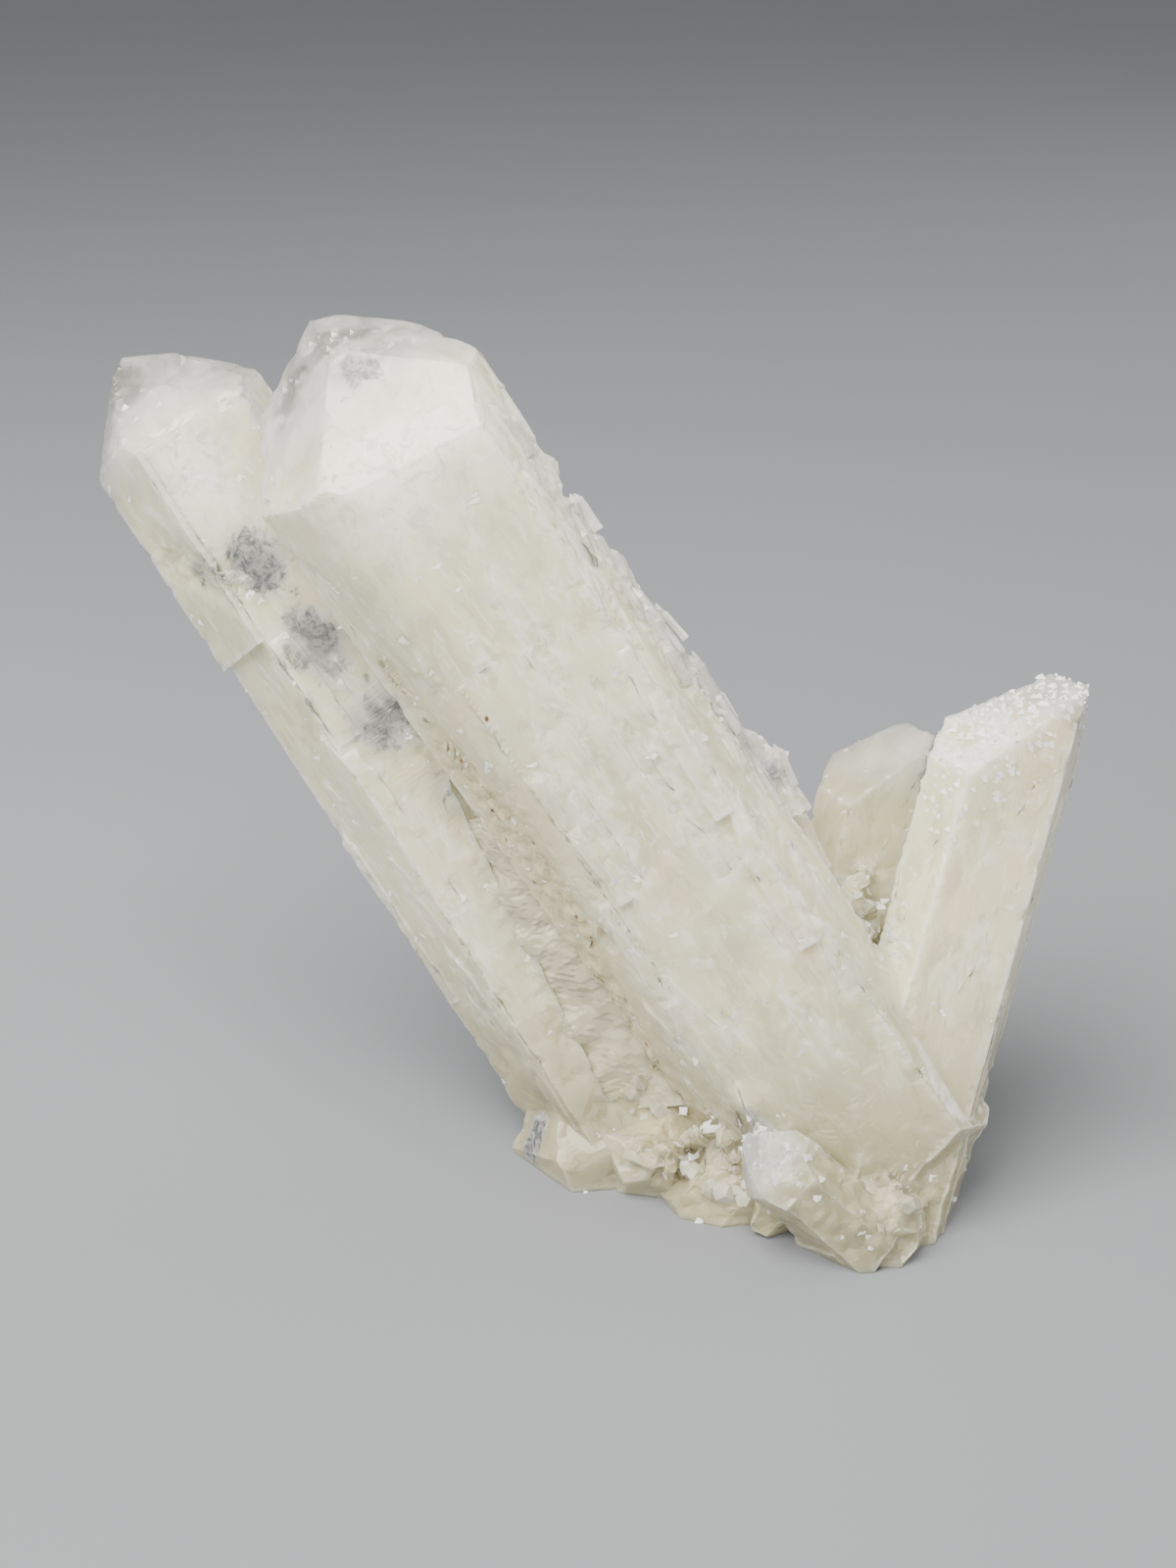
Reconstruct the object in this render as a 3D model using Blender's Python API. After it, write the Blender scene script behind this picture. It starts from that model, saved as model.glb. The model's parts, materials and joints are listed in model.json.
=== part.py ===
"""Quartz cluster: two long crystals and several short ones grown together on one root mass.

Lengths are in millimetres until the last step, which turns the finished body into metres.
"""

import math
import random
from dataclasses import dataclass

import bmesh
import bpy
from mathutils import Matrix
from mathutils import Vector

NODE_NAME = "quartz_cluster"
METRES_PER_MM = 0.001
SEED = 4188

# Crystal form
SIDE_COUNT = 6
SIDE_STEP_DEG = 360.0 / SIDE_COUNT
TIP_SLOPE_DEG = 38.2
BLANK_SIZE = 400.0

# How much small crystals vary: side distance and drop of each tip face, as shares of the radius
SIDE_VARIATION = (0.8, 1.15)
DROP_VARIATION = (0.0, 0.5)
LOW_FACE_DROP = (0.2, 0.7)

# Ridges on the sides: slope of their long tip faces, the drop of each as shares of the radius,
# and the share of the parent's length at which the last of them ends
RIDGE_TIP_SLOPE_DEG = 15.0
RIDGE_TIP_DROPS = (0.0, 1.7, 2.4, 2.4, 2.4, 1.3)
RIDGE_SINK = (0.25, 0.7)
RIDGE_DRIFT = 0.5
RIDGE_PLACE_IN_STEP = (0.15, 0.85)
RIDGE_END_SHARE = 0.88

# Tiny crystals of a druse: lean to each side and the share of the length below the surface
DRUSE_LEAN = 0.55
DRUSE_ROOT_SHARE = 0.6

# Lumps: how far the facets' turn and distance vary
LUMP_TURN_VARIATION = 0.25
LUMP_REACH = (0.86, 1.0)

# Clean-up of the fused body
MERGE_DISTANCE = 0.01
GROUND_HEIGHT = 0.0


@dataclass(frozen=True)
class Crystal:
    """A six-sided prism closed by sloping tip faces."""

    root: tuple
    tip: tuple
    turn: float
    sides: tuple
    caps: tuple
    breaks: tuple = ()


@dataclass(frozen=True)
class Ridges:
    """A band of thin crystals that lie along one side of a larger crystal."""

    parent: str
    side: int
    count: int
    from_tip: tuple
    middle: float
    half_width: float
    length: tuple
    radius: tuple
    lift: tuple


@dataclass(frozen=True)
class Lump:
    """A block of broken quartz, an ellipsoid cut to flat facets."""

    centre: tuple
    radii: tuple
    facets: int


@dataclass(frozen=True)
class Druse:
    """A patch of tiny crystals that point roughly the same way."""

    centre: tuple
    spread: tuple
    heading: tuple
    count: int
    radius: tuple
    length: tuple


def even_caps(drops):
    """Return six tip faces, one above each side, with these drops below the tip."""
    return tuple((SIDE_STEP_DEG * step, TIP_SLOPE_DEG, drop) for step, drop in enumerate(drops))


# Tip faces that the left crystal and its thicker upper part share
LEFT_CAPS = ((0.0, 38.4, 7.7), (-61.0, 35.5, 4.2), (61.0, 44.0, 3.6),
             (126.0, 42.0, 3.6), (180.0, 38.2, 2.0), (-120.0, 38.2, 3.0))

# The large crystals: foot, tip, turn of the first side from the front, six side distances,
# and the tip faces as angle from the first side, slope and drop below the tip
CRYSTALS = {
    "main": Crystal(
        root=(34.9, -15.3, -5.9),
        tip=(-30.6, 6.0, 88.1),
        turn=10.6,
        sides=(9.0, 12.7, 10.4, 14.2, 12.1, 10.4),
        caps=((4.5, 35.2, 8.2), (-48.8, 47.1, 9.6), (45.0, 51.7, 7.5),
              (125.0, 32.7, -5.5), (-99.6, 35.6, -4.5), (180.0, 38.2, -3.0)),
        breaks=(((40.2, -11.0, 6.6), (0.966, -0.109, -0.233)),
                ((33.0, -20.0, 4.4), (0.62, -0.7, -0.35))),
    ),
    "left": Crystal(
        root=(8.9, -9.9, -5.3),
        tip=(-50.2, 22.2, 81.8),
        turn=17.8,
        sides=(6.3, 10.2, 8.5, 8.0, 8.2, 6.3),
        caps=LEFT_CAPS,
    ),
    "left_shoulder": Crystal(
        root=(-29.9, 11.2, 52.0),
        tip=(-50.2, 22.2, 81.8),
        turn=17.8,
        sides=(6.0, 8.6, 7.4, 7.0, 9.2, 6.9),
        caps=LEFT_CAPS,
    ),
    "right": Crystal(
        root=(28.3, -21.7, -4.0),
        tip=(46.1, 8.1, 49.4),
        turn=2.4,
        sides=(4.8, 6.0, 7.2, 5.0, 7.5, 7.2),
        caps=((-49.3, 32.7, 2.9), (66.4, 62.8, -1.3), (-157.5, 38.8, 1.7), (120.0, 38.2, -1.0)),
    ),
    "right_back": Crystal(
        root=(22.5, -5.8, 5.0),
        tip=(32.5, 11.6, 42.7),
        turn=2.4,
        sides=(4.5, 5.0, 5.5, 4.5, 5.5, 5.5),
        caps=((-49.0, 34.0, 3.0), (66.0, 60.0, -1.0), (-157.0, 40.0, 1.5), (120.0, 38.2, 0.0)),
    ),
    "right_foot": Crystal(
        root=(30.2, -19.6, -3.0),
        tip=(38.7, -5.0, 24.8),
        turn=12.0,
        sides=(5.0, 5.2, 5.0, 5.0, 5.0, 5.0),
        caps=even_caps((2.0, 0.0, 1.0, 0.0, 1.0, 0.5)),
    ),
    "front_short": Crystal(
        root=(28.0, -24.6, 0.0),
        tip=(13.8, -23.2, 12.8),
        turn=10.0,
        sides=(3.7, 4.0, 4.0, 4.0, 4.0, 3.4),
        caps=even_caps((3.4, 1.2, 0.0, 0.0, 0.8, 1.8)),
    ),
    "left_foot": Crystal(
        root=(3.0, -8.0, -4.0),
        tip=(-3.6, -5.6, 15.0),
        turn=10.0,
        sides=(7.2, 7.0, 7.0, 7.0, 8.0, 7.4),
        caps=even_caps((4.0, 2.0, 0.0, 0.0, 2.0, 3.0)),
    ),
    "back_heel": Crystal(
        root=(12.0, -6.0, -4.0),
        tip=(17.0, 24.0, 21.0),
        turn=20.0,
        sides=(6.5, 8.5, 8.0, 7.5, 8.0, 9.0),
        caps=even_caps((5.0, 3.0, 0.0, 1.0, 4.0, 2.0)),
    ),
    "back_upright": Crystal(
        root=(14.0, -4.0, -2.0),
        tip=(2.0, 23.0, 44.0),
        turn=8.0,
        sides=(5.0, 6.0, 6.5, 6.0, 5.5, 6.0),
        caps=even_caps((2.0, 0.0, 1.5, 3.0, 1.0, 0.0)),
    ),
}

# Small crystals along the right edge of the main one, each as tip, length and radius
EDGE_CRYSTALS = (
    ((-6.4, 2.6, 74.2), 9.0, 1.9),
    ((-3.4, 1.8, 69.4), 8.0, 1.6),
    ((-1.0, 0.8, 66.6), 9.0, 2.3),
    ((2.6, 0.6, 61.6), 9.0, 2.2),
    ((5.0, -0.4, 58.4), 8.0, 2.0),
    ((7.6, -1.0, 54.6), 10.0, 2.4),
    ((11.0, -1.1, 50.0), 9.0, 2.1),
    ((16.2, -1.4, 45.2), 9.0, 2.4),
    ((18.4, -1.2, 39.2), 10.0, 2.0),
)
EDGE_CRYSTAL_SINK = 1.5

RIDGES = (
    Ridges("main", 0, 12, (33.0, 90.0), 4.2, 3.3, (24.0, 46.0), (1.2, 2.4), (0.16, 0.42)),
    Ridges("main", 0, 10, (46.0, 92.0), -3.0, 3.6, (20.0, 40.0), (1.2, 2.6), (0.14, 0.36)),
    Ridges("main", 1, 14, (26.0, 80.0), 0.0, 5.0, (12.0, 26.0), (1.1, 2.2), (0.3, 0.8)),
    Ridges("main", 5, 11, (34.0, 92.0), 0.0, 4.0, (12.0, 24.0), (1.2, 2.4), (0.2, 0.7)),
    Ridges("main", 3, 10, (20.0, 80.0), 0.0, 7.0, (18.0, 40.0), (1.8, 4.0), (0.2, 0.6)),
    Ridges("main", 2, 8, (20.0, 78.0), 0.0, 5.0, (14.0, 30.0), (1.3, 2.8), (0.3, 0.8)),
    Ridges("main", 4, 8, (24.0, 80.0), 0.0, 5.0, (14.0, 30.0), (1.3, 2.8), (0.3, 0.8)),
    Ridges("left", 0, 6, (40.0, 88.0), 0.0, 3.5, (18.0, 34.0), (1.2, 2.4), (0.12, 0.3)),
    Ridges("left", 5, 8, (30.0, 84.0), 0.0, 3.0, (12.0, 26.0), (1.2, 2.2), (0.2, 0.6)),
    Ridges("left", 3, 7, (16.0, 80.0), 0.0, 5.0, (16.0, 32.0), (1.6, 3.0), (0.2, 0.6)),
    Ridges("left", 4, 5, (30.0, 78.0), 0.0, 3.0, (12.0, 26.0), (1.3, 2.5), (0.2, 0.6)),
    Ridges("right", 0, 5, (14.0, 50.0), 0.0, 2.5, (12.0, 24.0), (1.1, 2.0), (0.12, 0.3)),
    Ridges("right", 1, 6, (10.0, 50.0), 0.0, 2.5, (10.0, 20.0), (1.0, 1.9), (0.2, 0.6)),
    Ridges("right", 2, 5, (12.0, 50.0), 0.0, 3.0, (10.0, 22.0), (1.1, 2.1), (0.2, 0.6)),
    Ridges("right", 3, 5, (14.0, 50.0), 0.0, 3.0, (10.0, 22.0), (1.2, 2.3), (0.2, 0.6)),
)

# The root mass the crystals stand in
LUMPS = (
    Lump((27.5, -20.4, 1.0), (7.4, 7.4, 5.6), 22),
    Lump((16.0, -15.6, 1.0), (8.4, 5.6, 6.0), 18),
    Lump((33.0, -13.0, 6.0), (6.0, 7.0, 8.0), 18),
    Lump((7.5, -12.0, 2.0), (6.0, 4.6, 5.0), 16),
    Lump((20.0, 3.0, 3.0), (13.0, 11.0, 8.0), 24),
    Lump((1.0, 2.0, 2.0), (7.5, 8.5, 7.0), 18),
    Lump((31.0, 0.0, 4.0), (7.0, 9.5, 8.0), 18),
    Lump((30.0, -23.6, 3.0), (3.0, 3.0, 3.6), 18),
    Lump((18.0, -21.5, 2.4), (2.4, 2.2, 2.8), 14),
)

DRUSES = (
    Druse((31.0, -8.6, 25.0), (3.0, 1.2, 4.0), (0.1, -0.6, 0.8), 9, (0.9, 1.7), (3.0, 6.0)),
    Druse((27.5, -2.0, 27.0), (2.6, 1.5, 2.6), (0.1, -0.5, 0.9), 8, (0.9, 1.6), (3.0, 6.0)),
    Druse((10.5, -16.5, 5.5), (4.5, 1.4, 3.0), (-0.1, -0.9, 0.5), 12, (0.8, 1.5), (3.0, 5.5)),
    Druse((29.5, -23.0, 4.5), (2.4, 1.4, 2.6), (0.3, -0.8, 0.5), 7, (0.9, 1.6), (2.6, 4.2)),
    Druse((22.0, 9.0, 12.0), (8.0, 4.0, 3.0), (0.1, 0.7, 0.7), 10, (1.2, 2.6), (5.0, 10.0)),
    Druse((38.0, 2.0, 12.0), (4.0, 5.0, 4.0), (0.6, 0.3, 0.7), 8, (1.2, 2.4), (5.0, 9.0)),
)

# The hollow beside the main crystal where the left one is eaten away, as the wedge between
# four planes: the left wall, the right wall, the floor and the lower end
RECESS_PLANES = (
    ((-0.896, -0.187, -0.402), (-7.9, -5.0, 28.2)),
    ((0.825, 0.239, 0.512), (-4.6, -7.0, 27.6)),
    ((-0.378, 0.780, -0.500), (-8.1, -3.3, 27.4)),
    ((0.5, -0.2, -0.84), (3.0, -11.6, 9.4)),
)
RECESS_CENTRE = (-4.0, -9.0, 26.0)

# Hollows where a chip came away, each as a lump that is cut out
PITS = (
    Lump((1.5, -13.6, 28.1), (1.1, 1.0, 1.6), 9),
    Lump((-13.8, -11.6, 54.5), (1.9, 1.0, 1.5), 8),
    Lump((-37.4, 11.4, 44.6), (1.3, 2.6, 1.0), 9),
    Lump((48.9, 6.0, 41.0), (1.2, 2.2, 0.9), 9),
    Lump((-1.2, 1.6, 68.6), (1.6, 2.4, 4.6), 9),
)


def crystal_axes(root, tip):
    """Return the directions along a crystal, to its front and to its right."""
    along = (tip - root).normalized()
    front = Vector((0.0, -1.0, 0.0))
    front = (front - front.dot(along) * along).normalized()
    right = along.cross(front)
    if right.x < 0.0:
        right.negate()
    return along, front, right


def side_normal(axes, angle_deg):
    """Return the outward direction of a side at this angle from the front."""
    _, front, right = axes
    angle = math.radians(angle_deg)
    return math.cos(angle) * front + math.sin(angle) * right


def cut_blank(planes, centre):
    """Return a mesh body: a cube about the centre with everything outside the planes cut off."""
    body = bmesh.new()
    bmesh.ops.create_cube(body, size=BLANK_SIZE, matrix=Matrix.Translation(centre))
    for normal, point in planes:
        everything = list(body.verts) + list(body.edges) + list(body.faces)
        bmesh.ops.bisect_plane(
            body, geom=everything, dist=1e-6, plane_co=point, plane_no=normal, clear_outer=True)
        rim = [edge for edge in body.edges if edge.is_boundary]
        if rim:
            bmesh.ops.holes_fill(body, edges=rim, sides=0)
    return body


def crystal_body(crystal):
    """Return the mesh body of one crystal."""
    root = Vector(crystal.root)
    tip = Vector(crystal.tip)
    axes = crystal_axes(root, tip)
    along = axes[0]
    planes = [(-along, root)]
    for step, distance in enumerate(crystal.sides):
        normal = side_normal(axes, crystal.turn + SIDE_STEP_DEG * step)
        planes.append((normal, root + distance * normal))
    for angle_deg, slope_deg, drop in crystal.caps:
        slope = math.radians(slope_deg)
        outward = side_normal(axes, crystal.turn + angle_deg)
        planes.append((math.cos(slope) * outward + math.sin(slope) * along, tip - drop * along))
    for point, normal in crystal.breaks:
        planes.append((Vector(normal).normalized(), Vector(point)))
    return cut_blank(planes, 0.5 * (root + tip))


def lump_body(lump, chance):
    """Return the mesh body of one lump, its facets tangent to an ellipsoid."""
    centre = Vector(lump.centre)
    radii = Vector(lump.radii)
    golden_turn = math.pi * (3.0 - math.sqrt(5.0))
    start = chance.uniform(0.0, math.tau)
    planes = []
    for step in range(lump.facets):
        height = 1.0 - 2.0 * (step + 0.5) / lump.facets
        ring = math.sqrt(1.0 - height * height)
        turn = start + golden_turn * step
        turn += chance.uniform(-LUMP_TURN_VARIATION, LUMP_TURN_VARIATION)
        sphere = Vector((ring * math.cos(turn), ring * math.sin(turn), height))
        point = Vector((sphere.x * radii.x, sphere.y * radii.y, sphere.z * radii.z))
        normal = Vector((sphere.x / radii.x, sphere.y / radii.y, sphere.z / radii.z)).normalized()
        planes.append((normal, centre + chance.uniform(*LUMP_REACH) * point))
    return cut_blank(planes, centre)


def small_crystal(root, tip, turn, radius, chance):
    """Return a small crystal whose sides and tip faces vary a little."""
    sides = tuple(radius * chance.uniform(*SIDE_VARIATION) for _ in range(SIDE_COUNT))
    drops = [radius * chance.uniform(*DROP_VARIATION) for _ in range(SIDE_COUNT)]
    drops[chance.randrange(SIDE_COUNT)] += radius * chance.uniform(*LOW_FACE_DROP)
    return Crystal(tuple(root), tuple(tip), turn, sides, even_caps(drops))


def slim_crystal(root, tip, turn, radius, chance):
    """Return a crystal that runs out in a long point, its first side facing outwards."""
    sides = tuple(radius * chance.uniform(*SIDE_VARIATION) for _ in range(SIDE_COUNT))
    caps = tuple(
        (SIDE_STEP_DEG * step, RIDGE_TIP_SLOPE_DEG, radius * drop + chance.uniform(0.0, radius))
        for step, drop in enumerate(RIDGE_TIP_DROPS))
    return Crystal(tuple(root), tuple(tip), turn, (radius,) + sides[1:], caps)


def edge_crystals(chance):
    """Return the small crystals along the right edge of the main one, parallel to it."""
    main_crystal = CRYSTALS["main"]
    along, _, right = crystal_axes(Vector(main_crystal.root), Vector(main_crystal.tip))
    crystals = []
    for tip, length, radius in EDGE_CRYSTALS:
        root = Vector(tip) - length * along - EDGE_CRYSTAL_SINK * right
        crystals.append(small_crystal(root, tip, main_crystal.turn, radius, chance))
    return crystals


def ridge_crystals(band, chance):
    """Return the thin crystals of one band, sunk into the side of their parent."""
    parent = CRYSTALS[band.parent]
    root = Vector(parent.root)
    tip = Vector(parent.tip)
    axes = crystal_axes(root, tip)
    along = axes[0]
    angle_deg = parent.turn + SIDE_STEP_DEG * band.side
    outward = side_normal(axes, angle_deg)
    across = side_normal(axes, angle_deg + 90.0)
    crystals = []
    for step in range(band.count):
        share = (step + chance.uniform(*RIDGE_PLACE_IN_STEP)) / band.count
        from_tip = band.from_tip[0] + share * (band.from_tip[1] - band.from_tip[0])
        radius = chance.uniform(*band.radius)
        room = RIDGE_END_SHARE * (tip - root).length - from_tip
        length = min(chance.uniform(*band.length), room)
        sideways = band.middle + chance.uniform(-band.half_width, band.half_width)
        lift = chance.uniform(*band.lift)
        reach = parent.sides[band.side] + lift - radius
        point_length = radius / math.tan(math.radians(RIDGE_TIP_SLOPE_DEG))
        end = tip - from_tip * along + reach * outward + sideways * across
        start = end - length * along - (lift + chance.uniform(*RIDGE_SINK)) * outward
        start += chance.uniform(-RIDGE_DRIFT, RIDGE_DRIFT) * across
        crystals.append(slim_crystal(start, end + point_length * along, angle_deg, radius, chance))
    return crystals


def druse_crystals(druse, chance):
    """Return the tiny crystals of one patch."""
    centre = Vector(druse.centre)
    heading = Vector(druse.heading).normalized()
    crystals = []
    for _ in range(druse.count):
        offset = Vector([chance.uniform(-reach, reach) for reach in druse.spread])
        lean = Vector([chance.uniform(-DRUSE_LEAN, DRUSE_LEAN) for _ in range(3)])
        direction = (heading + lean).normalized()
        length = chance.uniform(*druse.length)
        start = centre + offset - DRUSE_ROOT_SHARE * length * direction
        end = start + length * direction
        turn = chance.uniform(0.0, SIDE_STEP_DEG)
        crystals.append(small_crystal(start, end, turn, chance.uniform(*druse.radius), chance))
    return crystals


def mesh_object(name, body, collection):
    """Put a mesh body into the scene as an object and return the object."""
    bmesh.ops.recalc_face_normals(body, faces=body.faces)
    mesh = bpy.data.meshes.new(name)
    body.to_mesh(mesh)
    body.free()
    result = bpy.data.objects.new(name, mesh)
    collection.objects.link(result)
    return result


def cutter_object(name, body, collection):
    """Put a mesh body into the scene as a hidden operand and return the object."""
    result = mesh_object(name, body, collection)
    result.hide_render = True
    result.display_type = "WIRE"
    return result


def combine(target, operands, operation):
    """Apply one exact Boolean step per operand to the target."""
    for operand in operands:
        modifier = target.modifiers.new(operand.name, "BOOLEAN")
        modifier.operation = operation
        modifier.solver = "EXACT"
        modifier.object = operand
        depsgraph = bpy.context.evaluated_depsgraph_get()
        joined = bpy.data.meshes.new_from_object(target.evaluated_get(depsgraph))
        target.modifiers.remove(modifier)
        old = target.data
        target.data = joined
        bpy.data.meshes.remove(old)


def keep_largest(body):
    """Delete every closed shell of the body except the one with the most faces."""
    waiting = set(body.faces)
    shells = []
    while waiting:
        shell = []
        front = [waiting.pop()]
        while front:
            face = front.pop()
            shell.append(face)
            for edge in face.edges:
                for other in edge.link_faces:
                    if other in waiting:
                        waiting.remove(other)
                        front.append(other)
        shells.append(shell)
    shells.sort(key=len)
    for shell in shells[:-1]:
        bmesh.ops.delete(body, geom=shell, context="FACES")


def trim_and_place(target):
    """Cut the foot flat, stand it on the ground and turn millimetres into metres."""
    body = bmesh.new()
    body.from_mesh(target.data)
    everything = list(body.verts) + list(body.edges) + list(body.faces)
    bmesh.ops.bisect_plane(
        body, geom=everything, dist=1e-6, plane_co=(0.0, 0.0, GROUND_HEIGHT),
        plane_no=(0.0, 0.0, -1.0), clear_outer=True)
    bmesh.ops.holes_fill(body, edges=[edge for edge in body.edges if edge.is_boundary], sides=0)
    bmesh.ops.triangulate(body, faces=[face for face in body.faces if len(face.verts) > 4])
    bmesh.ops.remove_doubles(body, verts=body.verts, dist=MERGE_DISTANCE)
    bmesh.ops.dissolve_degenerate(body, edges=body.edges, dist=0.5 * MERGE_DISTANCE)
    keep_largest(body)
    lows = [min(vertex.co[axis] for vertex in body.verts) for axis in range(3)]
    highs = [max(vertex.co[axis] for vertex in body.verts) for axis in range(3)]
    middle = Vector((0.5 * (lows[0] + highs[0]), 0.5 * (lows[1] + highs[1]), lows[2]))
    body.transform(Matrix.Scale(METRES_PER_MM, 4) @ Matrix.Translation(-middle))
    bmesh.ops.recalc_face_normals(body, faces=body.faces)
    body.to_mesh(target.data)
    body.free()


def quartz_material():
    """Return the surface of cloudy quartz."""
    material = bpy.data.materials.new("quartz")
    material.use_nodes = True
    shader = material.node_tree.nodes["Principled BSDF"]
    shader.inputs["Base Color"].default_value = (0.82, 0.82, 0.77, 1.0)
    shader.inputs["Roughness"].default_value = 0.18
    shader.inputs["Metallic"].default_value = 0.0
    shader.inputs["IOR"].default_value = 1.544
    return material


def main():
    """Build the cluster."""
    for old in list(bpy.data.objects):
        bpy.data.objects.remove(old, do_unlink=True)
    chance = random.Random(SEED)
    parts = bpy.data.collections.new(NODE_NAME)
    cutters = bpy.data.collections.new(NODE_NAME + "_cutters")
    for collection in (parts, cutters):
        bpy.context.scene.collection.children.link(collection)

    crystals = [crystal for name, crystal in CRYSTALS.items() if name != "main"]
    crystals.extend(edge_crystals(chance))
    for band in RIDGES:
        crystals.extend(ridge_crystals(band, chance))
    for druse in DRUSES:
        crystals.extend(druse_crystals(druse, chance))

    growths = []
    for lump in LUMPS:
        growths.append(cutter_object("lump", lump_body(lump, chance), cutters))
    for crystal in crystals:
        growths.append(cutter_object("growth", crystal_body(crystal), cutters))
    recess_planes = [(Vector(normal).normalized(), Vector(point)) for normal, point in RECESS_PLANES]
    recess = cutter_object("recess", cut_blank(recess_planes, Vector(RECESS_CENTRE)), cutters)
    pits = [cutter_object("pit", lump_body(pit, chance), cutters) for pit in PITS]

    cluster = mesh_object(NODE_NAME, crystal_body(CRYSTALS["main"]), parts)
    combine(cluster, growths, "UNION")
    combine(cluster, [recess] + pits, "DIFFERENCE")
    trim_and_place(cluster)
    cluster.data.materials.clear()
    cluster.data.materials.append(quartz_material())
    for operand in growths + pits + [recess]:
        bpy.data.objects.remove(operand, do_unlink=True)


main()
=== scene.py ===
"""Dresses the quartz cluster: worked faces over a milky heart, a crust, fine crystals and flakes.

Lengths are in millimetres in the classes below and in metres in the meshes.
"""

import json
import logging
import math
from dataclasses import dataclass
from dataclasses import field
from enum import Enum

import bmesh
import bpy
import numpy as np
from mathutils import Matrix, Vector
from mathutils import noise
from mathutils.bvhtree import BVHTree
from mathutils.kdtree import KDTree

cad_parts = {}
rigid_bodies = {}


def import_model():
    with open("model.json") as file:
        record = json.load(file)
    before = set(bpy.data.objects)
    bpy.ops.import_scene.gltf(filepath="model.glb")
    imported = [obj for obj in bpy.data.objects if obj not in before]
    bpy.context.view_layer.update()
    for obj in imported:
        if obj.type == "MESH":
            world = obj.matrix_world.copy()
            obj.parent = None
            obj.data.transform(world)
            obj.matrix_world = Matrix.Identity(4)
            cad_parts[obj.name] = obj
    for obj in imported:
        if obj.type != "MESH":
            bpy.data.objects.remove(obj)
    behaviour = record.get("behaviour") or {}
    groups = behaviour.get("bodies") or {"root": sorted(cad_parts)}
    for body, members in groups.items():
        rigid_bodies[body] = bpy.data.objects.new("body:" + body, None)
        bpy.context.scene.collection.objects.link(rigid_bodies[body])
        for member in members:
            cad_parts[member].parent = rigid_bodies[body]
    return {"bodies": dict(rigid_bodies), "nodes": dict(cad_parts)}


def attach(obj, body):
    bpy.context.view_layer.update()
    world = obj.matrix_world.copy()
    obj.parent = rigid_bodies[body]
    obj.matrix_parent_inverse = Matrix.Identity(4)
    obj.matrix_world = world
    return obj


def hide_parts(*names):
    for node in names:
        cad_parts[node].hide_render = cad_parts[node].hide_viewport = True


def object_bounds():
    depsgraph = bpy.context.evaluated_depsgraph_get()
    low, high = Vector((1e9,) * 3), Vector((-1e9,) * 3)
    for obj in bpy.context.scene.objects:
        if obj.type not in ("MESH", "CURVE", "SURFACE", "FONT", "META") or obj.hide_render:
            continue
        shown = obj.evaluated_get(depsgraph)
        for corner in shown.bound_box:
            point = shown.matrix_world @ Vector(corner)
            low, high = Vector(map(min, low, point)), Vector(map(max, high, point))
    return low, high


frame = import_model()
CAD_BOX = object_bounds()

LOG = logging.getLogger("quartz_cluster")
Place = tuple[float, float, float]
Colour = tuple[float, float, float]
Span = tuple[float, float]
Mesh = bpy.types.Mesh
Object = bpy.types.Object
Material = bpy.types.Material
Socket = bpy.types.NodeSocket
WorkMesh = bmesh.types.BMesh

NODE = "quartz_cluster"
BODY = "root"
MM = 0.001
QUARTZ_INDEX = 1.544
NO_TURN = (0.0, 0.0, 0.0)
EVEN = (1.0, 1.0, 1.0)
DRAWING_SHIFT = (-0.213, 0.702, 0.0)  # from the frame the crystals are drawn in to the model's own
GROWTH_AXIS = "growth_axis"  # attribute: direction of the crystal that a point belongs to
GROWTH_PLACE = "growth_place"  # attribute: the point in that crystal's own frame, in mm


class Mask(Enum):
    """What a point of the skin carries for its material and for what grows on it, 0 to 1."""

    CLEAR = "clear"
    CLOUD = "cloud"
    STAIN = "stain"
    RIM = "rim"
    FROST = "frost"
    SMOKE = "smoke"
    STRIPE = "stripe"
    DRUSE = "druse"
    LEDGE = "ledge"
    PLATE = "plate"
    GRIT = "grit"
    PAINTED_VEIL_GLINT = "veil"
    PAINTED_GLINT = "glint"
    HONEY_AND_PAINTED_SHADE = "honey"
    PAINTED_SPARKLE = "sparkle"


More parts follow.
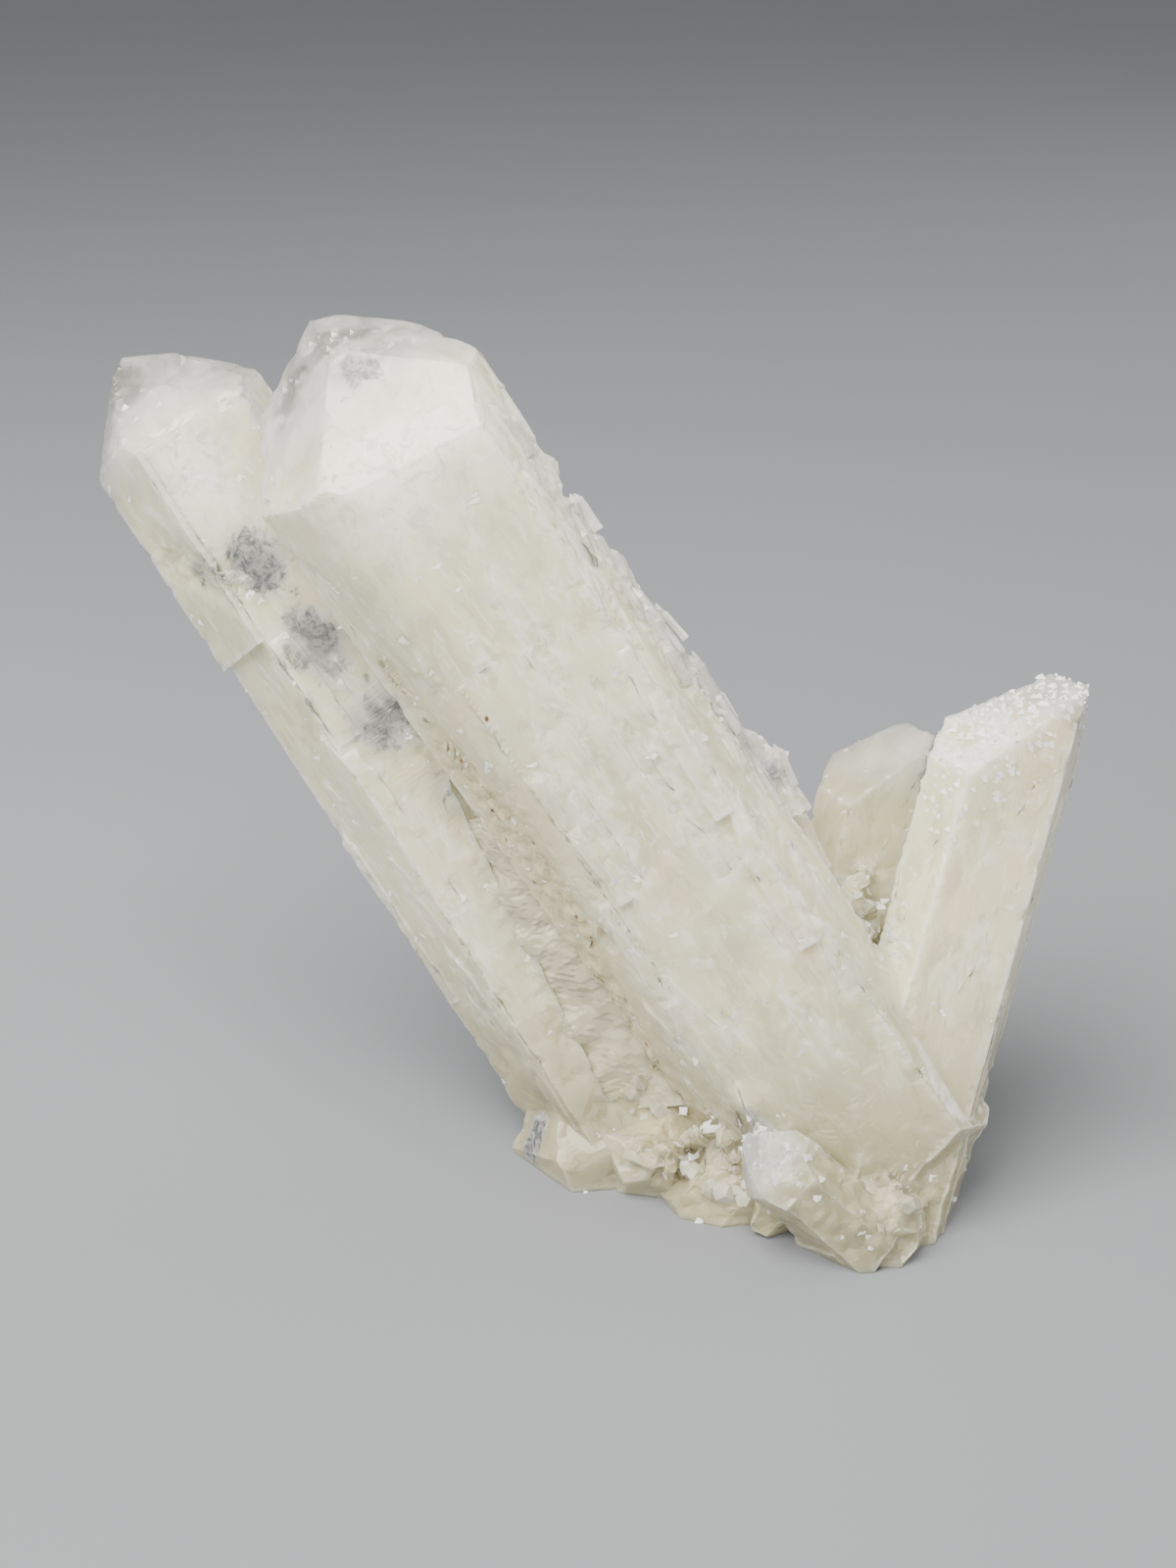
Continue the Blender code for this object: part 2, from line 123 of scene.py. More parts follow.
@dataclass(frozen=True)
class Crystal:
    """One six-sided crystal of the cluster, from the middle of its foot to its tip.

    Attributes:
        root: Where the axis starts, in the drawing's frame.
        tip: Where the axis ends, in the drawing's frame.
        reach: How far its sides are from the axis.
        clear_length: How far below the tip it stays clear.
        haze: How milky it is further down, 1 for opaque.
        tip_clear: How clear its tip is.
    """

    root: Place
    tip: Place
    reach: float
    clear_length: float = 8.0
    haze: float = 0.7
    tip_clear: float = 0.85

    @property
    def foot(self) -> np.ndarray:
        """Return the start of the axis in the model's frame."""
        return np.array(self.root) + DRAWING_SHIFT

    @property
    def peak(self) -> np.ndarray:
        """Return the end of the axis in the model's frame."""
        return np.array(self.tip) + DRAWING_SHIFT

    @property
    def axis(self) -> np.ndarray:
        """Return the direction from the foot to the tip."""
        along = self.peak - self.foot
        return along / np.linalg.norm(along)

    def direction(self, angle_deg: float, slope_deg: float) -> np.ndarray:
        """Return which way a face looks.

        Args:
            angle_deg: Its angle about the axis, from the front.
            slope_deg: How far it leans towards the tip, 0 for a prism side.

        Returns:
            A vector of length 1.
        """
        front = np.array((0.0, -1.0, 0.0))
        front -= (front @ self.axis) * self.axis
        front /= np.linalg.norm(front)
        right = np.cross(self.axis, front)
        right *= math.copysign(1.0, right[0])
        angle, slope = math.radians(angle_deg), math.radians(slope_deg)
        level = math.cos(angle) * front + math.sin(angle) * right
        return math.cos(slope) * level + math.sin(slope) * self.axis

    def below_tip(self, points: np.ndarray) -> np.ndarray:
        """Return how far below the tip each point lies, along the axis."""
        return (self.peak - points) @ self.axis

    def off_axis(self, points: np.ndarray) -> np.ndarray:
        """Return how far from the axis each point lies."""
        level = self.peak - self.below_tip(points)[:, None] * self.axis
        return np.linalg.norm(points - level, axis=1)


CRYSTALS = {
    "main": Crystal((34.9, -15.3, -5.9), (-30.6, 6.0, 88.1), 13.0, 15.0, 0.97, 0.8),
    "left": Crystal((8.9, -9.9, -5.3), (-50.2, 22.2, 81.8), 9.0, 15.0, 0.86, 0.85),
    "right": Crystal((28.3, -21.7, -4.0), (46.1, 8.1, 49.4), 6.5, 6.0, 0.95, 0.45),
    "right_back": Crystal((22.5, -5.8, 5.0), (32.5, 11.6, 42.7), 5.5, 9.0, 0.85, 0.5),
    "right_foot": Crystal((30.2, -19.6, -3.0), (38.7, -5.0, 24.8), 5.2, 3.0, 0.9, 0.5),
    "front_short": Crystal((28.0, -24.6, 0.0), (13.8, -23.2, 12.8), 4.2, 6.0, 0.8, 0.6),
    "left_foot": Crystal((3.0, -8.0, -4.0), (-3.6, -5.6, 15.0), 7.5, 0.3, 0.85, 0.3),
    "back_heel": Crystal((12.0, -6.0, -4.0), (17.0, 24.0, 21.0), 8.5, 6.0, 0.9, 0.6),
    "back_upright": Crystal((14.0, -4.0, -2.0), (2.0, 23.0, 44.0), 6.2, 9.0, 0.85, 0.75),
}


@dataclass(frozen=True)
class Face:
    """One flat face of a crystal.

    Attributes:
        angle_deg: Its angle about the crystal's axis, from the front.
        slope_deg: How far it leans towards the tip, 0 for a prism side.
        out: How far it lies beyond the axis for a side, and beyond the tip for a tip face.
        host: The crystal.
    """

    angle_deg: float
    slope_deg: float
    out: float
    host: str = "main"

    @property
    def plane(self) -> tuple[np.ndarray, float]:
        """Return the face's direction, and how far out along it the face lies."""
        crystal = CRYSTALS[self.host]
        normal = crystal.direction(self.angle_deg, self.slope_deg)
        anchor = crystal.peak if self.slope_deg else crystal.foot
        return normal, float(normal @ anchor) + self.out


@dataclass(frozen=True)
class SoftCrease:
    """A crease between two faces that is grown round.

    Attributes:
        first: One face.
        second: The other.
        radius: Radius of the rounding in mm.
        middle: A place at the middle of the crease.
        half_length: How far from there the rounding goes.
    """

    first: Face
    second: Face
    radius: float
    middle: Place
    half_length: float

    def rounded(self, points: np.ndarray) -> np.ndarray:
        """Draw the points beside the crease in to its rounding.

        Args:
            points: Points in mm.

        Returns:
            The same points, those beside the crease moved.
        """
        (first, first_out), (second, second_out) = self.first.plane, self.second.plane
        along = np.cross(first, second)
        along /= np.linalg.norm(along)
        centre = np.linalg.solve(np.array((first, second, along)),
                                 (first_out - self.radius, second_out - self.radius, 0.0))
        arm = points - centre
        arm -= (arm @ along)[:, None] * along
        reach = np.maximum(np.linalg.norm(arm, axis=1), 1e-6)
        ray = arm / reach[:, None]
        between = (np.cross(first, ray) @ along > 0.0) & (np.cross(ray, second) @ along > 0.0)
        level = self.radius / np.maximum(np.maximum(ray @ first, ray @ second), 0.5)
        pull = np.maximum(np.minimum(level, reach) - self.radius, 0.0)
        share = smooth_step(reach - level, 2.5, 0.9)
        from_middle = np.abs((points - np.array(self.middle)) @ along)
        share = share * smooth_step(from_middle - self.half_length, 4.0, 0.0)
        return points - (between * share * pull)[:, None] * ray


# The main crystal's left front crease, and the crease under its large tip face
SOFT_CREASES = (
    SoftCrease(Face(10.6, 0.0, 9.0), Face(-49.4, 0.0, 10.4), 9.0, (-9.0, -10.0, 44.0), 37.0),
    SoftCrease(Face(10.6, 0.0, 9.0), Face(15.1, 35.2, -4.73), 10.0, (-17.6, -5.6, 74.0), 9.0),
)


@dataclass(frozen=True)
class Patch:
    """A soft-edged place on the cluster, longer along its crystal than across.

    Attributes:
        centre: Middle of the patch in the model's frame.
        along: Half its length along the crystal's axis.
        across: Half its width across the axis.
        strength: What it adds at its middle.
        host: The crystal whose axis it follows.
        edge: How sharp its edge is, 2 for very soft.
    """

    centre: Place
    along: float
    across: float
    strength: float = 1.0
    host: str = "main"
    edge: float = 4.0

    def at(self, points: np.ndarray) -> np.ndarray:
        """Return the patch's strength at each point.

        Args:
            points: Points in mm.

        Returns:
            One number a point.
        """
        offset = points - np.array(self.centre)
        axis = CRYSTALS[self.host].axis
        step = offset @ axis
        side = np.linalg.norm(offset - step[:, None] * axis, axis=1)
        return self.strength * np.exp(-np.abs(step / self.along) ** self.edge
                                      - (side / self.across) ** self.edge)


# Windows of clear quartz that look into the crystals; the dark seen in them is painted
WINDOWS = (
    Patch((-21.6, 3.2, 81.2), 2.2, 2.6, 1.0, "main", 2.0),
    Patch((-33.2, 8.2, 60.1), 3.6, 3.0, 1.0, "left", 2.0),
    Patch((-27.3, 5.5, 52.4), 4.2, 2.9, 1.0, "left", 2.0),
    Patch((-20.9, 2.8, 45.2), 3.2, 3.6, 1.0, "left", 2.0),
    Patch((-39.3, 9.6, 58.4), 2.4, 1.8, 0.5, "left", 2.0),
    Patch((-14.6, 0.8, 38.2), 4.2, 2.4, 0.42, "left", 2.0),
    Patch((17.7, -3.2, 42.4), 2.2, 1.4, 1.0, "main", 2.0),
    Patch((-5.3, -8.9, 4.2), 1.8, 1.6, 0.9, "left_foot", 2.0),
    Patch((-6.4, -9.6, 1.6), 1.4, 1.4, 0.9, "left_foot", 2.0),
)

# Bright clear panes, without the painted dark of the windows
PANES = (
    Patch((17.3, -23.1, 10.9), 3.0, 3.4, 0.6, "front_short"),
    Patch((-30.1, 12.2, 78.2), 4.5, 4.0, 0.6, "main"),
    Patch((-21.0, 4.0, 82.0), 2.6, 9.0, 0.8, "main", 2.0),
    Patch((33.2, -3.0, 39.5), 2.0, 1.2, 0.4, "right"),
)

# White clouds close below the faces
CLOUDS = (
    Patch((-15.6, -4.1, 75.4), 6.5, 9.0, 1.0, "main", 2.0),
    Patch((-20.5, -5.0, 72.0), 6.0, 6.0, 0.5, "main", 2.0),
    Patch((-41.2, 12.3, 70.3), 6.0, 5.5, 0.9, "left", 2.0),
    Patch((-37.4, 10.5, 66.0), 5.0, 4.0, 0.5, "left", 2.0),
)


@dataclass(frozen=True)
class Band:
    """A round-ended band between two places, such as a stained hollow.

    Attributes:
        start: One end in the model's frame.
        end: The other end.
        radius: Half its width.
        strength: What it adds at its middle line.
    """

    start: Place
    end: Place
    radius: float
    strength: float = 1.0

    def at(self, points: np.ndarray) -> np.ndarray:
        """Return the band's strength at each point.

        Args:
            points: Points in mm.

        Returns:
            One number a point.
        """
        start = np.array(self.start)
        run = np.array(self.end) - start
        share = np.clip((points - start) @ run / (run @ run), 0.0, 1.0)
        side = np.linalg.norm(points - start - share[:, None] * run, axis=1)
        return self.strength * np.exp(-((side / self.radius) ** 3))


# Hollows where iron and clay have stained the quartz
STAINS = (
    Band((-19.5, -2.5, 53.0), (-13.5, -5.2, 44.0), 2.4, 0.5),
    Band((-13.5, -5.2, 44.0), (-7.0, -7.5, 36.0), 3.6, 1.0),
    Band((-7.0, -7.5, 36.0), (-1.2, -8.6, 25.5), 3.8, 1.0),
    Band((-14.5, -9.8, 53.0), (-6.5, -10.5, 40.0), 3.4, 0.45),
    Band((-6.5, -10.5, 40.0), (4.0, -12.0, 22.0), 4.0, 0.5),
    Band((-9.5, -1.0, 32.0), (5.2, -7.1, 10.2), 2.2, 0.6),
    Band((-1.2, -8.6, 25.5), (3.8, -7.0, 13.0), 3.4, 0.8),
    Band((3.8, -7.5, 13.0), (7.8, -12.0, 6.0), 2.8, 0.9),
    Band((27.6, -1.5, 29.0), (28.6, -5.0, 27.5), 1.7, 0.7),
    Band((8.6, -17.5, 2.9), (16.6, -21.5, 2.0), 2.6, 0.6),
)

# Where fine lines run across the left crystal
STRIPES = (
    Patch((-20.4, 2.8, 44.5), 6.0, 4.0, 1.0, "left"),
    Patch((-13.9, 0.6, 37.2), 6.5, 4.0, 1.0, "left"),
    Patch((-30.4, 7.0, 56.0), 8.0, 4.0, 0.5, "left"),
)

# Patches of tiny crystals that stand up from the quartz
DRUSES = (
    Band((9.0, -17.0, 5.0), (15.8, -19.4, 3.4), 2.2, 1.0),
    Band((28.2, -1.2, 28.6), (30.0, -8.0, 25.8), 1.6, 0.8),
    Band((28.0, -24.4, 5.0), (31.6, -24.4, 4.6), 1.8, 0.7),
    Band((4.6, -8.8, 9.0), (7.2, -12.0, 6.0), 1.8, 0.6),
)

# The main crystal's right edge, where slim crystals end one above another
LEDGES = (
    Band((-6.9, 0.8, 74.0), (7.6, -1.2, 55.2), 1.9, 1.0),
    Band((7.6, -1.2, 55.2), (19.6, -2.5, 39.0), 2.4, 0.8),
)

# Rough places where the crystals' faces are eaten or broken
ROUGH = (
    Band((-19.0, -3.0, 52.5), (-12.7, -5.4, 43.0), 2.2, 0.6),
    Band((-12.7, -5.4, 43.0), (-4.1, -8.8, 31.7), 2.8, 0.9),
    Band((-4.1, -8.8, 31.7), (1.8, -8.5, 19.3), 3.0, 0.9),
    Band((1.8, -8.5, 19.3), (5.3, -9.5, 10.6), 3.0, 0.8),
    Band((-13.1, -0.6, 35.2), (-2.4, -8.5, 14.5), 1.3, 0.7),
    Band((8.6, -14.0, 5.5), (16.6, -19.5, 3.0), 4.2, 1.0),
    Band((-4.4, 0.2, 72.9), (9.2, -3.8, 53.6), 2.4, 0.8),
    Band((9.2, -3.8, 53.6), (19.1, -4.1, 40.2), 2.4, 0.8),
    Band((26.6, -22.5, 4.0), (33.6, -24.0, 5.0), 4.6, 0.9),
    Band((28.4, -0.5, 28.5), (30.1, -8.5, 26.0), 3.0, 0.8),
    Band((-43.5, 13.0, 58.6), (-36.0, 6.4, 58.2), 2.6, 1.0),
    Band((-8.5, -10.5, 42.0), (0.5, -11.8, 27.0), 2.4, 0.45),
)

# Where flat white flakes on a face are painted sparkles
PAINTED_SPARKLES = (
    Band((16.2, -22.8, 11.2), (18.6, -24.0, 10.6), 2.8, 1.0),
    Band((22.5, -26.0, 6.0), (25.5, -26.6, 4.0), 2.2, 0.1),
    Band((38.5, 2.5, 43.2), (47.0, 5.8, 47.2), 4.2, 1.0),
    Band((34.5, -2.0, 39.0), (44.0, 2.0, 42.5), 3.0, 0.3),
    Band((30.5, -7.0, 33.0), (33.5, -4.0, 37.5), 2.2, 0.3),
    Band((27.6, -5.2, 28.4), (30.0, -9.2, 25.8), 2.0, 0.5),
    Band((-31.5, 8.0, 79.0), (-23.5, 6.5, 83.0), 3.0, 0.12),
)


def to_unit(values: np.ndarray) -> np.ndarray:
    """Return values held between 0 and 1."""
    return np.clip(values, 0.0, 1.0)


def smooth_step(values: np.ndarray, low: float, high: float) -> np.ndarray:
    """Return 0 below low and 1 above high, with a soft change between.

    Args:
        values: What is compared with the limits.
        low: Where the change starts.
        high: Where it ends; it may be under low for a fall.

    Returns:
        The share at each value.
    """
    share = to_unit((values - low) / (high - low))
    return share * share * (3.0 - 2.0 * share)


def wave(points: np.ndarray, size: float | Place, seed: int, octaves: int = 3) -> np.ndarray:
    """Return smooth noise of about -1 to 1 at each point.

    Args:
        points: Where it is read, in mm.
        size: Width of its hills, one for all directions or one for each.
        seed: Which noise it is.
        octaves: How many finer layers it has.

    Returns:
        One number a point.
    """
    places = points / np.array(size) + seed * np.array((17.3, 5.1, 9.7))
    return np.array([noise.fractal(Vector(place), 1.0, 2.0, octaves) for place in places])


def held_wave(points: np.ndarray, size: float | Place, seed: int, octaves: int = 3) -> np.ndarray:
    """Return the same noise as wave does, held between -1 and 1."""
    return np.clip(wave(points, size, seed, octaves), -1.0, 1.0)


def pyramids(points: np.ndarray, size: float, seed: int) -> np.ndarray:
    """Return the height, from 0 to about 1, of a crust of small pyramids at each point.

    Args:
        points: Where it is read, in mm.
        size: Distance between the pyramids.
        seed: Which crust it is.

    Returns:
        One number a point.
    """
    turn = 0.4 + 0.9 * seed
    cos, sin = math.cos(turn), math.sin(turn)
    turned = points @ np.array(((cos, sin, 0.3), (-sin, cos, 0.2), (0.2, -0.3, 1.0))) / size + 3.7 * seed
    near = [noise.voronoi(Vector(place), distance_metric="MANHATTAN")[0][0] for place in turned]
    return to_unit(1.0 - 0.9 * np.array(near))


def shingles(local: np.ndarray, width: float, length: float, seed: int) -> np.ndarray:
    """Return the height, from 0 to about 1, of growth plates that overlap along the crystal.

    Args:
        local: Points in their crystal's frame, the last number along the axis.
        width: Width of a plate in mm.
        length: Its length in mm.
        seed: Which plates they are.

    Returns:
        One number a point: each plate rises towards the tip and ends there in a step.
    """
    places = local / np.array((width, width, length)) + seed * np.array((3.7, 1.9, 5.3))
    heights = np.empty(len(places))
    for number, place in enumerate(places):
        cell = noise.voronoi(Vector(place), distance_metric="MANHATTAN")[1][0]
        heights[number] = 0.42 + 0.55 * (place[2] - cell[2]) + 0.3 * noise.cell(cell * 7.0)
    return to_unit(heights)


def mesh_arrays(mesh: Mesh) -> tuple[np.ndarray, np.ndarray]:
    """Return where a mesh's points are and which way its surface faces there.

    Args:
        mesh: The mesh.

    Returns:
        Its points in mm, and its vertex normals.
    """
    points = np.empty(len(mesh.vertices) * 3, np.float32)
    normals = np.empty(len(mesh.vertices) * 3, np.float32)
    mesh.vertices.foreach_get("co", points)
    mesh.vertex_normals.foreach_get("vector", normals)
    return points.reshape(-1, 3).astype(float) / MM, normals.reshape(-1, 3).astype(float)


def move_points(mesh: Mesh, points: np.ndarray) -> None:
    """Give a mesh new points, in mm."""
    mesh.vertices.foreach_set("co", (points * MM).astype(np.float32).ravel())
    mesh.update()


def store_mask(mesh: Mesh, mask: Mask, values: np.ndarray) -> None:
    """Store a mask as an attribute that materials and node trees can read."""
    layer = mesh.attributes.new(mask.value, "FLOAT", "POINT")
    layer.data.foreach_set("value", values.astype(np.float32))


def store_vector(mesh: Mesh, name: str, vectors: np.ndarray) -> None:
    """Store one vector a point as an attribute that materials and node trees can read."""
    layer = mesh.attributes.new(name, "FLOAT_VECTOR", "POINT")
    layer.data.foreach_set("vector", vectors.astype(np.float32).ravel())


class Editing:
    """A mesh that is open for editing in a with block, and is written back at its end."""

    def __init__(self, mesh: Mesh) -> None:
        """Remember the mesh."""
        self.mesh = mesh
        self.work = bmesh.new()

    def __enter__(self) -> WorkMesh:
        """Return the mesh's editable form."""
        self.work.from_mesh(self.mesh)
        return self.work

    def __exit__(self, *failure: object) -> None:
        """Write the changes back to the mesh."""
        self.work.to_mesh(self.mesh)
        self.work.free()


def new_object(name: str, data: bpy.types.ID) -> Object:
    """Return a new object of this mesh, lamp or camera, linked to the scene."""
    piece = bpy.data.objects.new(name, data)
    bpy.context.scene.collection.objects.link(piece)
    return piece


def hold_in_box(points: np.ndarray) -> np.ndarray:
    """Return the points, in mm, kept inside the model's box."""
    low, high = (np.array(corner) / MM for corner in CAD_BOX)
    return np.clip(points, low, high)


def ride(piece: Object) -> None:
    """Fix a finished piece to the cluster's only body."""
    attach(piece, BODY)


class NodeBoard:
    """Adds and links the nodes of one tree."""

    def __init__(self, tree: bpy.types.NodeTree) -> None:
        """Start on an empty tree."""
        self.tree = tree
        self.tree.nodes.clear()

    def add(self, kind: str, **settings: object) -> bpy.types.Node:
        """Add a node of this kind with these settings."""
        node = self.tree.nodes.new(kind)
        for name, value in settings.items():
            setattr(node, name, value)
        return node

    def put(self, value: object, socket: Socket) -> None:
        """Link an output to a socket, or set the socket's own value."""
        if isinstance(value, Socket):
            self.tree.links.new(value, socket)
        else:
            socket.default_value = value

    def math(self, operation: str, first: object, second: object = 0.0, third: object = 0.0,
             clamp: bool = False) -> Socket:
        """Return the result of a sum on up to three numbers."""
        node = self.add("ShaderNodeMath", operation=operation, use_clamp=clamp)
        for value, socket in zip((first, second, third), node.inputs):
            self.put(value, socket)
        return node.outputs[0]

    def vector_math(self, operation: str, first: object, second: object) -> Socket:
        """Return the result of a sum on vectors.

        Args:
            operation: Which sum it is.
            first: A vector.
            second: Another vector, or the number that SCALE multiplies it by.

        Returns:
            The vector output.
        """
        node = self.add("ShaderNodeVectorMath", operation=operation)
        self.put(first, node.inputs[0])
        self.put(second, node.inputs["Scale"] if operation == "SCALE" else node.inputs[1])
        return node.outputs[0]


@dataclass(frozen=True)
class Grain:
    """Noise that a material is mottled with.

    Attributes:
        size: Width of its hills in mm.
        span: The noise that counts as nothing, and the noise that counts as all.
        shares: What is given for these two.
        detail: Number of finer layers.
        roughness: Strength of the finer layers.
        distortion: How much the pattern is bent.
        scale: How much denser it is along each axis.
        turn: Its rotation about each axis in degrees.
    """

    size: float
    span: Span = (0.0, 1.0)
    shares: Span = (0.0, 1.0)
    detail: float = 3.0
    roughness: float = 0.5
    distortion: float = 0.0
    scale: Place = EVEN
    turn: Place = NO_TURN


class MaterialBoard(NodeBoard):
    """Adds and links the nodes of one material."""

    def __init__(self, name: str) -> None:
        """Start an empty material of this name."""
        self.material = bpy.data.materials.new(name)
        self.material.use_nodes = True
        super().__init__(self.material.node_tree)

    def millimetres(self) -> Socket:
        """Return the object's own coordinates in mm."""
        return self.vector_math("SCALE", self.add("ShaderNodeTexCoord").outputs["Object"], 1.0 / MM)

    def stretched(self, vector: Socket, scale: Place, turn: Place = NO_TURN) -> Socket:
        """Return coordinates turned and stretched.

        Args:
            vector: The coordinates.
            scale: How much denser the pattern gets along each axis.
            turn: Rotation about each axis in degrees.

        Returns:
            The new coordinates.
        """
        mapping = self.add("ShaderNodeMapping")
        self.put(vector, mapping.inputs["Vector"])
        mapping.inputs["Rotation"].default_value = tuple(math.radians(angle) for angle in turn)
        mapping.inputs["Scale"].default_value = scale
        return mapping.outputs[0]

    def noise(self, vector: Socket, grain: Grain) -> Socket:
        """Return a grain's noise.

        Args:
            vector: Coordinates in mm.
            grain: What the noise is like.

        Returns:
            The noise, from 0 to 1.
        """
        if (grain.scale, grain.turn) != (EVEN, NO_TURN):
            vector = self.stretched(vector, grain.scale, grain.turn)
        texture = self.add("ShaderNodeTexNoise")
        self.put(vector, texture.inputs["Vector"])
        texture.inputs["Scale"].default_value = 1.0 / grain.size
        texture.inputs["Detail"].default_value = grain.detail
        texture.inputs["Roughness"].default_value = grain.roughness
        texture.inputs["Distortion"].default_value = grain.distortion
        return texture.outputs[0]

    def mottle(self, vector: Socket, grain: Grain) -> Socket:
        """Return a grain's noise at coordinates in mm, stretched from its span to its shares."""
        return self.spread(self.noise(vector, grain), grain.span, grain.shares)

    def mask(self, mask: Mask) -> Socket:
        """Return one of the stored masks."""
        return self.add("ShaderNodeAttribute", attribute_name=mask.value).outputs["Fac"]

    def growth_place(self) -> Socket:
        """Return the place in the crystal's own frame in mm, its last part along the axis."""
        return self.add("ShaderNodeAttribute", attribute_name=GROWTH_PLACE).outputs["Vector"]

    def plates(self, vector: Socket, width: float, length: float) -> Socket:
        """Return the height of overlapping growth plates that rise along the last axis.

        Args:
            vector: Coordinates in mm.
            width: Width of a plate.
            length: Its length.

        Returns:
            A height of about 0 to 1.
        """
        place = self.stretched(vector, (1.0 / width, 1.0 / width, 1.0 / length))
        cells = self.add("ShaderNodeTexVoronoi", distance="MANHATTAN")
        self.put(place, cells.inputs["Vector"])
        cells.inputs["Scale"].default_value = 1.0
        offset = self.add("ShaderNodeSeparateXYZ")
        self.put(self.vector_math("SUBTRACT", place, cells.outputs["Position"]), offset.inputs[0])
        level = self.add("ShaderNodeSeparateColor")
        self.put(cells.outputs["Color"], level.inputs[0])
        return self.math("MULTIPLY_ADD", level.outputs[1], 0.35, offset.outputs[2])

    def times(self, *factors: object) -> Socket:
        """Return the product of these numbers and outputs."""
        product, *others = factors
        for factor in others:
            product = self.math("MULTIPLY", product, factor)
        return product

    def spread(self, value: Socket, span: Span, shares: Span = (0.0, 1.0)) -> Socket:
        """Stretch a value's span to other limits, softly, and hold it there.

        Args:
            value: The value's output.
            span: The values that count as least and most.
            shares: What is given for these two.

        Returns:
            The new value.
        """
        node = self.add("ShaderNodeMapRange", interpolation_type="SMOOTHSTEP")
        self.put(value, node.inputs["Value"])
        for name, number in zip(("From Min", "From Max", "To Min", "To Max"), (*span, *shares)):
            node.inputs[name].default_value = number
        return node.outputs[0]

    def blend(self, share: object, first: object, second: object) -> Socket:
        """Return a mix of two colours.

        Args:
            share: How much of the second colour there is.
            first: A colour or the output that gives it.
            second: The other.

        Returns:
            The mixed colour.
        """
        node = self.add("ShaderNodeMix", data_type="RGBA")
        factor, low, high = node.inputs[0], node.inputs[6], node.inputs[7]
        self.put(share, factor)
        for value, socket in ((first, low), (second, high)):
            self.put(value if isinstance(value, Socket) else (*value, 1.0), socket)
        return node.outputs[2]

    def bump(self, height: object, strength: float, depth: float) -> Socket:
        """Return bumped normals.

        Args:
            height: The height's output, from 0 to about 1.
            strength: How strongly it shows.
            depth: How deep a height of 1 is, in mm.

        Returns:
            The normals.
        """
        node = self.add("ShaderNodeBump")
        self.put(height, node.inputs["Height"])
        node.inputs["Strength"].default_value = strength
        node.inputs["Distance"].default_value = depth * MM
        return node.outputs[0]

    def surface(self, **sockets: object) -> None:
        """Finish the material with one surface shader.

        Args:
            sockets: Values or outputs by the shader's socket names, with _ for a space.
        """
        shader = self.add("ShaderNodeBsdfPrincipled")
        for name, value in sockets.items():
            socket = shader.inputs[name.replace("_", " ")]
            is_colour = isinstance(value, tuple) and len(value) == 3 and socket.type == "RGBA"
            self.put((*value, 1.0) if is_colour else value, socket)
        output = self.add("ShaderNodeOutputMaterial")
        self.tree.links.new(shader.outputs[0], output.inputs["Surface"])

    def absorb(self, colour: Colour, density: float) -> None:
        """Let the inside swallow light.

        Args:
            colour: What it leaves of the light.
            density: How much it takes, for each metre.
        """
        volume = self.add("ShaderNodeVolumeAbsorption")
        volume.inputs["Color"].default_value = (*colour, 1.0)
        volume.inputs["Density"].default_value = density
        output = next(n for n in self.tree.nodes if n.bl_idname == "ShaderNodeOutputMaterial")
        self.tree.links.new(volume.outputs[0], output.inputs["Volume"])


